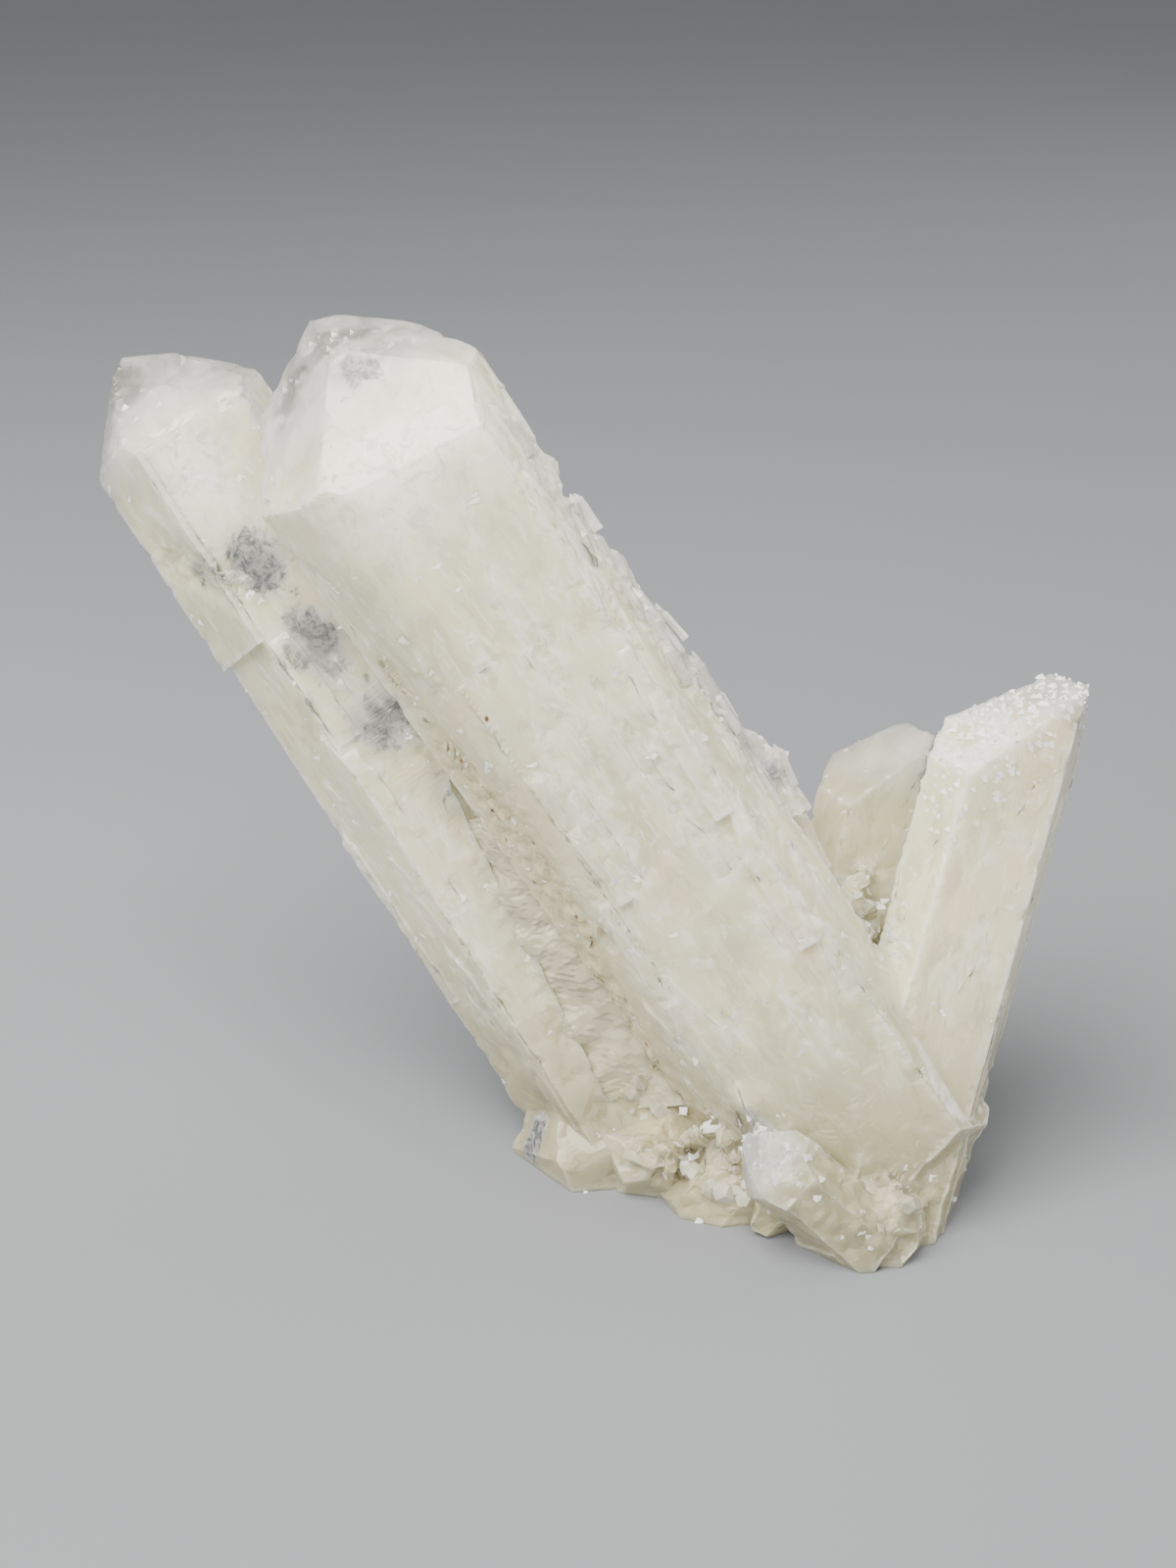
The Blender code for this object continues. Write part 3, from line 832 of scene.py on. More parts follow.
@dataclass(frozen=True)
class SkinFinish:
    """Milky quartz with clear tips, seen on the cluster's faces.

    Attributes:
        cream: The milky quartz.
        green_grey: What it drifts to over wide places.
        rose: A faint blush in it.
        deep: Streaks that look deeper.
        cloud: White wisps, threads and clouds.
        vein: Thin grey veins in the clouds.
        honey: Darker yellow-brown quartz, on two crystals and low down, where the darkening is partly painted
            shade.
        clay: The stained hollows.
        rust: Small specks, most of them in the hollows.
        smoke: Painted dark in the windows, for the dark that is seen through clear quartz.
        water: The clear tips.
        rim: The bright edges, partly wear and partly painted highlight.
        glow_depth: How far light goes below the surface, in mm.
        absorbed: What the clear quartz leaves of the light.
        density: How much it takes from it, for each metre.
        drifts: How the milk drifts to greenish grey.
        blush: Where it has a blush.
        depths: Where the deeper streaks are.
        wisps: Where the wisps are.
        threads: Where the threads on the growth plates are.
        billows: How the clouds are broken up.
        veins: Where the veins are.
        clay_grain: How the stain is broken up.
        torn: What tears the windows' edges, its span measured on noise and mask together.
        painted_dark_grain: How that painted dark is mottled.
        clearness: How the clearness goes up and down.
        sheen: How rough the gloss is from place to place.
        streaks: The relief's fine streaks along the crystal.
        lines: Its lines across the crystal.
        steps: Its steps in the stained hollows.
        frost: Its finest grain.
        plate_width: Width of its smallest growth plates.
        plate_length: Length of those.
    """

    cream: Colour = (0.84, 0.795, 0.565)
    green_grey: Colour = (0.745, 0.745, 0.53)
    rose: Colour = (0.84, 0.73, 0.54)
    deep: Colour = (0.62, 0.60, 0.40)
    cloud: Colour = (0.98, 0.98, 0.92)
    vein: Colour = (0.55, 0.58, 0.55)
    honey: Colour = (0.42, 0.38, 0.235)
    clay: Colour = (0.62, 0.55, 0.35)
    rust: Colour = (0.20, 0.08, 0.025)
    smoke: Colour = (0.07, 0.074, 0.08)
    water: Colour = (0.97, 0.975, 0.96)
    rim: Colour = (0.95, 0.94, 0.88)
    glow_depth: float = 3.2
    absorbed: Colour = (0.86, 0.90, 0.86)
    density: float = 6.0
    drifts: Grain = Grain(14.0, (0.38, 0.62), detail=3.0, roughness=0.55)
    blush: Grain = Grain(10.0, (0.5, 0.68), (0.0, 0.7), 2.0, scale=(1.0, 1.0, 0.6), turn=(0, 35, 0))
    depths: Grain = Grain(3.6, (0.47, 0.62), (0.0, 0.65), 5.0, 0.62, 1.0, (1.0, 1.0, 0.6))
    wisps: Grain = Grain(2.0, (0.52, 0.66), (0.0, 0.5), 5.0, 0.66, 1.0, (1.0, 1.0, 0.45))
    threads: Grain = Grain(1.0, (0.58, 0.64), (0.0, 0.6), 4.0, 0.6, 1.2, (1.0, 1.0, 0.3))
    billows: Grain = Grain(3.4, (0.32, 0.62), (0.35, 1.0), 5.0, 0.62, 1.0)
    veins: Grain = Grain(2.4, (0.5, 0.64), (0.0, 0.75), 5.0, 0.7, 1.4)
    clay_grain: Grain = Grain(1.1, (0.2, 0.7), (0.5, 1.0), 4.0, 0.65, 0.6)
    torn: Grain = Grain(2.2, (1.3, 1.58), (0.0, 1.0), 5.0, 0.66, 0.5, (1.0, 1.0, 0.8), (0, 35, 0))
    painted_dark_grain: Grain = Grain(0.9, (0.38, 0.6), (0.6, 1.0), 5.0, 0.7, 0.6)
    clearness: Grain = Grain(5.0, (0.3, 0.7), (0.75, 1.1), distortion=0.3)
    sheen: Grain = Grain(2.4, (0.35, 0.7), (0.06, 0.18))
    streaks: Grain = Grain(1.0, detail=4.0, roughness=0.6, distortion=0.8, scale=(1.0, 1.0, 0.25))
    lines: Grain = Grain(0.32, detail=2.0, roughness=0.6, scale=(0.05, 0.05, 1.0))
    steps: Grain = Grain(4.0, roughness=0.6, distortion=0.6, scale=(1.0, 1.0, 0.5))
    frost: Grain = Grain(0.35, roughness=0.6)
    plate_width: float = 1.9
    plate_length: float = 6.0

    def milky_colour(self, board: MaterialBoard, place: Socket) -> Socket:
        """Return the colour of the milky quartz, before its clouds, stains and windows.

        Args:
            board: The material being made.
            place: Coordinates in mm.

        Returns:
            The colour output.
        """
        growth = board.growth_place()
        colour = board.blend(board.mottle(place, self.drifts), self.cream, self.green_grey)
        colour = board.blend(board.mottle(place, self.blush), colour, self.rose)
        colour = board.blend(board.mottle(growth, self.depths), colour, self.deep)
        colour = board.blend(board.mottle(growth, self.wisps), colour, self.cloud)
        threads = board.times(board.mottle(growth, self.threads), board.mask(Mask.PLATE))
        colour = board.blend(threads, colour, self.cloud)
        # Darker yellow-brown, towards the foot partly painted shade
        return board.blend(board.mask(Mask.HONEY_AND_PAINTED_SHADE), colour, self.honey)

    def body_colour(self, board: MaterialBoard, place: Socket) -> Socket:
        """Return the colour of the quartz with all that lies in it and on it.

        Args:
            board: The material being made.
            place: Coordinates in mm.

        Returns:
            The colour output.
        """
        colour = self.milky_colour(board, place)
        clouds = board.times(board.mask(Mask.CLOUD), board.mottle(place, self.billows))
        crystals = board.math("MAXIMUM", board.times(board.mask(Mask.LEDGE), 0.9), board.mask(Mask.GRIT))
        whitened = board.times(board.math("MAXIMUM", clouds, crystals), 0.9)
        colour = board.blend(whitened, colour, self.cloud)
        veins = board.times(board.mottle(place, self.veins), board.mask(Mask.CLOUD))
        colour = board.blend(veins, colour, self.vein)
        clear = board.spread(board.mask(Mask.CLEAR), (0.25, 0.7), (0.0, 0.9))
        colour = board.blend(clear, colour, self.water)
        stain = board.times(board.mask(Mask.STAIN), board.mottle(place, self.clay_grain))
        colour = board.blend(stain, colour, self.clay)
        # Painted dark in the windows, for the dark seen through clear quartz
        colour = board.blend(board.times(self.painted_darkness(board, place), 0.97), colour, self.smoke)
        # Bright edges, partly wear and partly painted highlight; less on the darker low quartz and on stains
        plain = board.math("MULTIPLY_ADD", board.mask(Mask.HONEY_AND_PAINTED_SHADE), -0.5, 0.6)
        bright = board.math("SUBTRACT", plain, stain, clamp=True)
        colour = board.blend(board.times(board.mask(Mask.RIM), bright), colour, self.rim)
        return board.blend(self.specks(board, place), colour, self.rust)

    def painted_darkness(self, board: MaterialBoard, place: Socket) -> Socket:
        """Return how much painted dark each place has: mottled in the windows, with a torn edge."""
        torn = board.math("MULTIPLY_ADD", board.noise(place, self.torn), 1.9, board.mask(Mask.SMOKE))
        return board.times(board.spread(torn, self.torn.span), board.mottle(place, self.painted_dark_grain))

    @staticmethod
    def specks(board: MaterialBoard, place: Socket) -> Socket:
        """Return where the small rust specks are, many in the stained hollows and few elsewhere.

        Args:
            board: The material being made.
            place: Coordinates in mm.

        Returns:
            The output with their share.
        """
        apart, stained_share, plain_share, size = 1.4, 0.16, 0.002, (0.22, 0.08)
        cells = board.add("ShaderNodeTexVoronoi")
        board.put(board.stretched(place, (1.0, 1.0, 0.7)), cells.inputs["Vector"])
        cells.inputs["Scale"].default_value = 1.0 / apart
        chance = board.add("ShaderNodeSeparateColor")
        board.put(cells.outputs["Color"], chance.inputs[0])
        share = board.math("MULTIPLY_ADD", board.mask(Mask.STAIN), stained_share, plain_share)
        chosen = board.math("LESS_THAN", chance.outputs[0], share)
        return board.times(chosen, board.spread(cells.outputs["Distance"], size))

    def relief(self, board: MaterialBoard, place: Socket) -> Socket:
        """Return the height of the finest growth marks.

        Args:
            board: The material being made.
            place: Coordinates in mm.

        Returns:
            The height, from 0 to about 1.
        """
        growth = board.growth_place()
        streaks = board.times(board.noise(growth, self.streaks), 0.3)
        steps = board.math("FLOOR", board.times(board.noise(growth, self.steps), 10.0))
        frosted = board.math("MULTIPLY_ADD", board.mask(Mask.FROST), 0.5, 0.1)
        height = streaks
        for part, share in (
            (board.plates(growth, self.plate_width, self.plate_length),
             board.times(board.mask(Mask.PLATE), 0.6)),
            (board.noise(growth, self.lines), board.times(board.mask(Mask.STRIPE), 0.9)),
            (steps, board.times(board.mask(Mask.STAIN), 0.35)),
            (board.noise(place, self.frost), frosted),
        ):
            height = board.math("MULTIPLY_ADD", part, share, height)
        return height

    def make(self) -> Material:
        """Return the material."""
        board = MaterialBoard("milky_quartz")
        place = board.millimetres()
        # Painted dark in the windows, which also lets less light through there
        painted_darkness = self.painted_darkness(board, place)
        clearness = board.mottle(place, self.clearness)
        clear = board.math("MULTIPLY", clearness, board.mask(Mask.CLEAR), clamp=True)
        glow = board.math("MULTIPLY_ADD", painted_darkness, -0.6, 0.8)
        sheen = board.mottle(place, self.sheen)
        board.surface(
            Base_Color=self.body_colour(board, place),
            Roughness=board.math("MULTIPLY_ADD", board.mask(Mask.FROST), 0.15, sheen),
            IOR=QUARTZ_INDEX,
            Transmission_Weight=board.times(clear, board.math("MULTIPLY_ADD", painted_darkness, -0.85, 1.0)),
            Subsurface_Weight=board.math("MULTIPLY_ADD", board.mask(Mask.STAIN), -0.5, glow, clamp=True),
            Subsurface_Radius=(1.0, 0.94, 0.82),
            Subsurface_Scale=self.glow_depth * MM,
            Normal=board.bump(self.relief(board, place), 0.6, 0.22),
        )
        board.absorb(self.absorbed, self.density)
        return board.material


@dataclass(frozen=True)
class HeartFinish:
    """The white milk inside the crystals.

    Attributes:
        milk: Its colour.
        blue_milk: What it drifts to.
        smoke: Its painted dark behind the windows.
        index: Its index of refraction.
        drifts: How wide places of the two milks are.
        grain: Its fine grain.
    """

    milk: Colour = (0.93, 0.925, 0.895)
    blue_milk: Colour = (0.925, 0.94, 0.965)
    smoke: Colour = (0.36, 0.39, 0.44)
    index: float = 1.3
    drifts: Grain = Grain(9.0, (0.4, 0.65))
    grain: Grain = Grain(1.0, (0.36, 0.6), (0.0, 1.0), 4.0, 0.7, 0.8)

    def make(self) -> Material:
        """Return the material."""
        board = MaterialBoard("quartz_milk")
        place = board.millimetres()
        tone = board.blend(board.mottle(place, self.drifts), self.milk, self.blue_milk)
        grain = board.mottle(place, self.grain)
        # The milk is painted dark behind the windows
        board.surface(
            Base_Color=board.blend(board.times(board.mask(Mask.SMOKE), grain), tone, self.smoke),
            Roughness=board.spread(grain, (0.0, 1.0), (0.55, 0.8)),
            IOR=self.index,
            Normal=board.bump(grain, 0.4, 0.2),
        )
        return board.material


@dataclass(frozen=True)
class GlintFinish:
    """Fine crystals, flakes or a crust: two mottled tones, more or less clear and glossy.

    Attributes:
        name: Name of the material.
        light: Its lighter tone.
        shade: Its darker tone.
        clear: How clear its clearest places are.
        roughness: How rough its glossiest places are.
        blotches: How the two tones are mottled.
        grit: The fine noise that its surface is bumped with.
    """

    name: str
    light: Colour = (0.96, 0.96, 0.95)
    shade: Colour = (0.86, 0.865, 0.86)
    clear: float = 0.0
    roughness: float = 0.2
    blotches: Grain = Grain(1.6, (0.3, 0.7))
    grit: Grain = Grain(0.3, detail=2.0)

    def make(self) -> Material:
        """Return the material."""
        board = MaterialBoard(self.name)
        place = board.millimetres()
        mottle = board.noise(place, self.blotches)
        clear = board.spread(mottle, (0.35, 0.65), (0.7 * self.clear, self.clear))
        rough = board.spread(mottle, self.blotches.span, (self.roughness, 1.6 * self.roughness))
        board.surface(
            Base_Color=board.blend(board.spread(mottle, self.blotches.span), self.light, self.shade),
            Roughness=rough,
            IOR=QUARTZ_INDEX,
            Transmission_Weight=clear,
            Normal=board.bump(board.noise(place, self.grit), 0.3, 0.08),
        )
        return board.material


DRUSY_QUARTZ = GlintFinish("drusy_quartz", (0.90, 0.88, 0.77), (0.72, 0.68, 0.53), clear=0.5, roughness=0.08)
LEDGE_QUARTZ = GlintFinish("ledge_quartz", (0.97, 0.97, 0.94), (0.91, 0.91, 0.87), clear=0.5, roughness=0.06)
# The crust's stain, made darker as painted shade in the crevice
CRUST_STAIN_AND_PAINTED_SHADE = GlintFinish("crust_stain_and_painted_shade", (0.58, 0.545, 0.40), (0.45, 0.42, 0.29), roughness=0.22)
# White flakes that are painted glints
PAINTED_GLINT_FLAKES = GlintFinish("painted_glint_flakes")


@dataclass
class Survey:
    """What is known about each point of a mesh, lengths in mm.

    Attributes:
        points: Where the points are.
        normals: Which way the surface faces there.
        host: Number of the crystal that each point belongs to.
        below_tip: How far below that crystal's tip it lies.
        axis: The direction of that crystal.
        lean: How much it faces along that crystal's axis, 0 on the prism sides.
        local: The point in its crystal's frame, two numbers across and one along.
    """

    points: np.ndarray
    normals: np.ndarray
    host: np.ndarray = field(init=False)
    below_tip: np.ndarray = field(init=False)
    axis: np.ndarray = field(init=False)
    lean: np.ndarray = field(init=False)
    local: np.ndarray = field(init=False)

    def __post_init__(self) -> None:
        """Work out which crystal each point belongs to, and where on it."""
        crystals = list(CRYSTALS.values())
        below = np.array([crystal.below_tip(self.points) for crystal in crystals])
        misfit = np.array([crystal.off_axis(self.points) / crystal.reach for crystal in crystals])
        misfit += 0.2 * np.maximum(0.0, -1.0 - below)
        self.host = misfit.argmin(0)
        rows = np.arange(len(self.points))
        self.below_tip = below[self.host, rows]
        axes = np.array([crystal.axis for crystal in crystals])
        self.axis = axes[self.host]
        self.lean = (self.normals * self.axis).sum(1)
        across = np.cross(axes, (0.0, -1.0, 0.0))
        across /= np.linalg.norm(across, axis=1)[:, None]
        frames = np.stack((across, np.cross(axes, across), axes), axis=1)
        self.local = np.einsum("nij,nj->ni", frames[self.host], self.points)

    def on(self, name: str) -> np.ndarray:
        """Return which points belong to this crystal."""
        return self.host == list(CRYSTALS).index(name)

    def trait(self, name: str) -> np.ndarray:
        """Return a number of each point's crystal."""
        return np.array([getattr(crystal, name) for crystal in CRYSTALS.values()])[self.host]

    def total(self, places: tuple) -> np.ndarray:
        """Return how strong these patches or bands are at each point, at most 1."""
        return to_unit(sum(place.at(self.points) for place in places))


def merged_solid(source: Object) -> Mesh:
    """Return a copy of the solid's mesh whose triangles share their corners.

    Args:
        source: The solid's object, left as it is.

    Returns:
        A new mesh.
    """
    work = bmesh.new()
    work.from_mesh(source.data)
    for layers in (work.loops.layers.float_vector, work.loops.layers.uv):
        for name in layers.keys():
            layers.remove(layers[name])
    bmesh.ops.remove_doubles(work, verts=work.verts, dist=1e-6)
    bmesh.ops.dissolve_limit(work, angle_limit=math.radians(0.2), verts=work.verts, edges=work.edges)
    bmesh.ops.triangulate(work, faces=work.faces)
    mesh = bpy.data.meshes.new("merged_solid")
    work.to_mesh(mesh)
    work.free()
    return mesh


def remeshed(mesh: Mesh, voxel: float) -> Mesh:
    """Return a closed mesh of even squares around the same body.

    Args:
        mesh: The body.
        voxel: Size of the squares in mm.

    Returns:
        A new mesh.
    """
    blank = new_object("remesh_blank", mesh)
    step = blank.modifiers.new("even", "REMESH")
    step.mode = "VOXEL"
    step.voxel_size = voxel * MM
    result = bpy.data.meshes.new_from_object(
        blank.evaluated_get(bpy.context.evaluated_depsgraph_get()))
    bpy.data.objects.remove(blank)
    return result


def face_tree(mesh: Mesh) -> BVHTree:
    """Return a search tree over a mesh's faces.

    Args:
        mesh: The mesh.

    Returns:
        The tree.
    """
    work = bmesh.new()
    work.from_mesh(mesh)
    tree = BVHTree.FromBMesh(work)
    work.free()
    return tree


def largest_body(mesh: Mesh) -> None:
    """Delete every separate body of a mesh but the one with the most points."""
    with Editing(mesh) as work:
        waiting = set(work.verts)
        bodies = []
        while waiting:
            body = set()
            reached = [next(iter(waiting))]
            while reached:
                vert = reached.pop()
                if vert in body:
                    continue
                body.add(vert)
                reached.extend(edge.other_vert(vert) for edge in vert.link_edges)
            waiting -= body
            bodies.append(body)
        keep = max(bodies, key=len)
        bmesh.ops.delete(work, geom=[vert for vert in work.verts if vert not in keep], context="VERTS")


@dataclass
class QuartzSkin:
    """The cluster's faces: the solid's own faces, cut finely and worked like grown quartz.

    Attributes:
        longest_edge: Longest side of a triangle on the smooth faces.
        rough_edge: The same where the quartz is rough.
        crease_deg: Angle from which two faces meet in a sharp edge.
        round_deg: The same on the rounded creases.
        wear_reach: How far from an edge its small chips go.
        wear_depth: How deep those chips are.
        wear_size: How wide they are.
        side_lean: Lean along the crystal at which a face isn't one of its sides, and at which it is.
        long_hills: Height of the long swells along the prism sides.
        hill_size: Width of those swells, the last number along the crystal.
        right_hills: Share of their height on the right crystal.
        unevenness: Height of the wide swells on every face.
        uneven_size: Width of those.
        plate_depth: Height of the growth plates.
        plate_size: Width and length of a growth plate.
        small_plate_share: Height of the plates on top of those, as a share of theirs.
        small_plate_size: Width and length of these.
        plate_lean: The same as side_lean, for the plates.
        plate_start: How far below the tip they start, in lengths of the clear tip.
        plate_sway: How far that start goes up and down.
        plate_fade: Length over which they come in.
        side_plates: Their strength on every crystal but the main one.
        crust_depth: Height of the crust in the rough places.
        crust_size: Distance between the crust's pyramids.
        root_crust: Strength of that crust on the root.
        root_heights: Height at which the root's crust starts, and at which it is whole.
        frost_depth: Height of the finer crust on the right crystal's tip.
        frost_size: Distance between its pyramids.
        flat_foot: Height below which the crystals' flat foot is left as it is.
        rim_width: Width of the bright edges, partly wear and partly painted highlight.
        least_painted_glint: Least strength of the painted glints away from the plates.
        painted_veil_glint_rim: Distance from an edge at which the painted glints of the inner veils start,
            and at which they are whole.
        finish: The material.
    """

    longest_edge: float = 1.05
    rough_edge: float = 0.62
    crease_deg: float = 14.0
    round_deg: float = 24.0
    wear_reach: float = 0.8
    wear_depth: float = 0.24
    wear_size: float = 1.5
    side_lean: Span = (0.3, 0.08)
    long_hills: float = 0.16
    hill_size: Place = (2.2, 2.2, 17.0)
    right_hills: float = 0.45
    unevenness: float = 0.06
    uneven_size: float = 5.0
    plate_depth: float = 0.15
    plate_size: Span = (2.7, 13.0)
    small_plate_share: float = 0.4
    small_plate_size: Span = (1.7, 7.0)
    plate_lean: Span = (0.35, 0.1)
    plate_start: float = 1.3
    plate_sway: float = 5.0
    plate_fade: float = 14.0
    side_plates: float = 0.22
    crust_depth: float = 0.62
    crust_size: float = 1.9
    root_crust: float = 0.75
    root_heights: Span = (16.0, 7.0)
    frost_depth: float = 0.22
    frost_size: float = 0.95
    flat_foot: float = 0.9
    rim_width: float = 0.45
    least_painted_glint: float = 0.35
    painted_veil_glint_rim: Span = (1.2, 2.4)
    finish: SkinFinish = field(default_factory=SkinFinish)

    def fine_mesh(self, solid: Mesh) -> tuple[Mesh, np.ndarray]:
        """Cut the solid's faces into small triangles and mark its creases sharp.

        Args:
            solid: The merged solid.

        Returns:
            The new mesh, and the places of the points on its outer creases, in mm.
        """
        work = bmesh.new()
        work.from_mesh(solid)
        for edge in work.edges:
            edge.smooth = edge.calc_face_angle(0.0) < math.radians(self.crease_deg)
        limit = max(edge.calc_length() for edge in work.edges) / MM
        while limit > self.longest_edge:
            limit = max(self.longest_edge, 0.7 * limit)
            self.split_longer(work, list(work.edges), np.full(len(work.edges), limit))
        for _ in range(2):
            edges = list(work.edges)
            middles = np.array([0.5 * (edge.verts[0].co + edge.verts[1].co) for edge in edges]) / MM
            rough = sum(band.at(middles) for band in ROUGH) > 0.3
            self.split_longer(work, edges, np.where(rough, self.rough_edge, self.longest_edge))
        flat = [edge for edge in work.edges if edge.smooth]
        bmesh.ops.beautify_fill(work, faces=work.faces, edges=flat, method="ANGLE")
        self.round_off(work)
        rims = {vert for edge in work.edges if not edge.smooth and edge.is_convex for vert in edge.verts}
        places = np.array([vert.co for vert in rims]) / MM
        mesh = bpy.data.meshes.new("quartz_skin")
        work.to_mesh(mesh)
        work.free()
        return mesh, places

    def round_off(self, work: WorkMesh) -> None:
        """Round the soft creases, and shade smoothly what is round now.

        Args:
            work: The skin's mesh, changed here.
        """
        verts = list(work.verts)
        flat = np.array([vert.co for vert in verts]) / MM
        round_places = flat
        for crease in SOFT_CREASES:
            round_places = crease.rounded(round_places)
        moved = set()
        for vert, before, after in zip(verts, flat, round_places):
            if np.abs(after - before).max() > 0.01:
                vert.co = Vector(after) * MM
                moved.add(vert)
        work.normal_update()
        for edge in work.edges:
            if edge.verts[0] in moved or edge.verts[1] in moved:
                edge.smooth = edge.calc_face_angle(0.0) < math.radians(self.round_deg)

    @staticmethod
    def split_longer(work: WorkMesh, edges: list, limits: np.ndarray) -> None:
        """Halve each of these edges that is longer than its limit in mm."""
        chosen = [edge for edge, limit in zip(edges, limits) if edge.calc_length() > limit * MM]
        if chosen:
            bmesh.ops.subdivide_edges(work, edges=chosen, cuts=1)
            bmesh.ops.triangulate(work, faces=[face for face in work.faces if len(face.verts) > 3])

    @staticmethod
    def distance_to(places: np.ndarray, points: np.ndarray) -> np.ndarray:
        """Return how far each point is from the nearest of some places.

        Args:
            places: The places.
            points: The points.

        Returns:
            One distance a point.
        """
        tree = KDTree(len(places))
        for number, place in enumerate(places):
            tree.insert(place, number)
        tree.balance()
        return np.array([tree.find(point)[2] for point in points])

    def relief(self, survey: Survey, to_rim: np.ndarray) -> np.ndarray:
        """Return how deep, in mm, the worked surface lies below the solid at each point.

        Args:
            survey: What is known about the points.
            to_rim: Their distance to the nearest outer crease.

        Returns:
            One depth a point, never under 0.
        """
        points = survey.points
        height = points[:, 2]
        side = smooth_step(np.abs(survey.lean), *self.side_lean)
        swell = held_wave(survey.local, self.hill_size, seed=3)
        depth = side * self.long_hills * (0.5 + 0.5 * swell)
        depth *= np.where(survey.on("right"), self.right_hills, 1.0)
        depth += self.unevenness * (0.5 + 0.5 * held_wave(points, self.uneven_size, seed=5))
        chips = smooth_step(wave(points, self.wear_size, seed=7), 0.05, 0.6)
        depth += self.wear_depth * chips * np.exp(-((to_rim / self.wear_reach) ** 2))
        sheet = self.plates(survey) * self.plate_depth
        depth += sheet * (1.0 - shingles(survey.local, *self.plate_size, seed=1))
        small_sheet = sheet * self.small_plate_share
        depth += small_sheet * (1.0 - shingles(survey.local, *self.small_plate_size, seed=4))
        patchy = smooth_step(wave(points, 7.0, seed=11, octaves=2), -0.1, 0.35)
        root = self.root_crust * smooth_step(height, *self.root_heights) * patchy
        rough = np.maximum(survey.total(ROUGH), root)
        depth += self.crust_depth * rough * (1.0 - pyramids(points, self.crust_size, seed=2))
        frost = self.frost_depth * self.frost(survey)
        depth += frost * (1.0 - pyramids(points, self.frost_size, seed=5))
        return depth * smooth_step(height, 0.0, self.flat_foot)

    def plates(self, survey: Survey) -> np.ndarray:
        """Return how strongly growth plates cover each point: the prism sides, below the tips.

        Args:
            survey: What is known about the points.

        Returns:
            One share a point.
        """
        side = smooth_step(np.abs(survey.lean), *self.plate_lean)
        sway = self.plate_sway * wave(survey.points, 9.0, seed=31, octaves=2)
        start = self.plate_start * survey.trait("clear_length") + sway
        share = smooth_step(survey.below_tip - start, 0.0, self.plate_fade)
        strength = np.where(survey.on("main"), 1.0, self.side_plates)
        return strength * side * share * (0.55 + 0.45 * held_wave(survey.points, 8.0, seed=33, octaves=2))

    @staticmethod
    def frost(survey: Survey) -> np.ndarray:
        """Return how frosted each point is: the tip faces of the right crystal, but for its edges."""
        facing = smooth_step(survey.lean, 0.35, 0.5)
        ragged = smooth_step(wave(survey.points, 3.5, seed=13), -0.55, -0.1)
        return survey.on("right") * facing * ragged

    @staticmethod
    def clearness(survey: Survey) -> np.ndarray:
        """Return how clear the quartz is at each point: its tips, windows and panes.

        Args:
            survey: What is known about the points.

        Returns:
            One share a point.
        """
        milky = 1.0 - survey.trait("haze")
        tip_share = smooth_step(survey.below_tip / survey.trait("clear_length"), 1.5, 0.6)
        clear = milky + (survey.trait("tip_clear") - milky) * tip_share
        for places, dulled in ((CLOUDS, 0.6), (STAINS, 0.9), (ROUGH, 0.6)):
            clear = clear * (1.0 - dulled * survey.total(places))
        return to_unit(np.maximum.reduce((clear, survey.total(WINDOWS), survey.total(PANES))))

    @staticmethod
    def honey(survey: Survey) -> np.ndarray:
        """Return the share of the darker yellow-brown at each point: on two crystals, and low down, where it
        is partly painted shade.
        """
        height = survey.points[:, 2]
        return np.maximum.reduce((
            0.36 * survey.on("right_back"),
            0.9 * survey.on("left_foot") * smooth_step(height, 15.0, 8.0),
            0.9 * smooth_step(height, 26.0, 3.0)))

    def store(self, mesh: Mesh, survey: Survey, to_rim: np.ndarray) -> None:
        """Store what the material and the node trees read at each point.

        Args:
            mesh: The skin's mesh.
            survey: What is known about its points.
            to_rim: Their distance to the nearest outer crease.
        """
        plates, frost, clear = self.plates(survey), self.frost(survey), self.clearness(survey)
        ledges = survey.total(LEDGES)
        above_foot = 1.0 - smooth_step(survey.points[:, 2], 1.6, 0.8)
        masks = {
            Mask.CLEAR: clear,
            Mask.CLOUD: survey.total(CLOUDS),
            Mask.STAIN: survey.total(STAINS),
            Mask.RIM: np.exp(-to_rim / self.rim_width),
            Mask.FROST: np.maximum(survey.total(ROUGH), frost),
            Mask.SMOKE: survey.total(WINDOWS),
            Mask.STRIPE: survey.total(STRIPES),
            Mask.DRUSE: survey.total(DRUSES) * above_foot,
            Mask.LEDGE: ledges,
            Mask.PLATE: plates,
            Mask.GRIT: frost,
            Mask.PAINTED_GLINT: np.maximum(np.maximum(plates, self.least_painted_glint), ledges),
            Mask.HONEY_AND_PAINTED_SHADE: self.honey(survey),
            Mask.PAINTED_SPARKLE: survey.total(PAINTED_SPARKLES),
            Mask.PAINTED_VEIL_GLINT: clear * smooth_step(to_rim, *self.painted_veil_glint_rim),
        }
        for mask, values in masks.items():
            store_mask(mesh, mask, values)
        store_vector(mesh, GROWTH_AXIS, survey.axis)
        store_vector(mesh, GROWTH_PLACE, survey.local)

    def build(self, solid: Mesh) -> Object:
        """Build and dress the skin.

        Args:
            solid: The merged solid.

        Returns:
            The finished piece.
        """
        mesh, rims = self.fine_mesh(solid)
        points, normals = mesh_arrays(mesh)
        survey = Survey(points, normals)
        to_rim = self.distance_to(rims, points)
        depth = self.relief(survey, to_rim)
        move_points(mesh, hold_in_box(points - depth[:, None] * normals))
        self.store(mesh, survey, to_rim)
        mesh.materials.append(self.finish.make())
        piece = new_object("quartz_skin", mesh)
        ride(piece)
        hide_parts(NODE)
        return piece


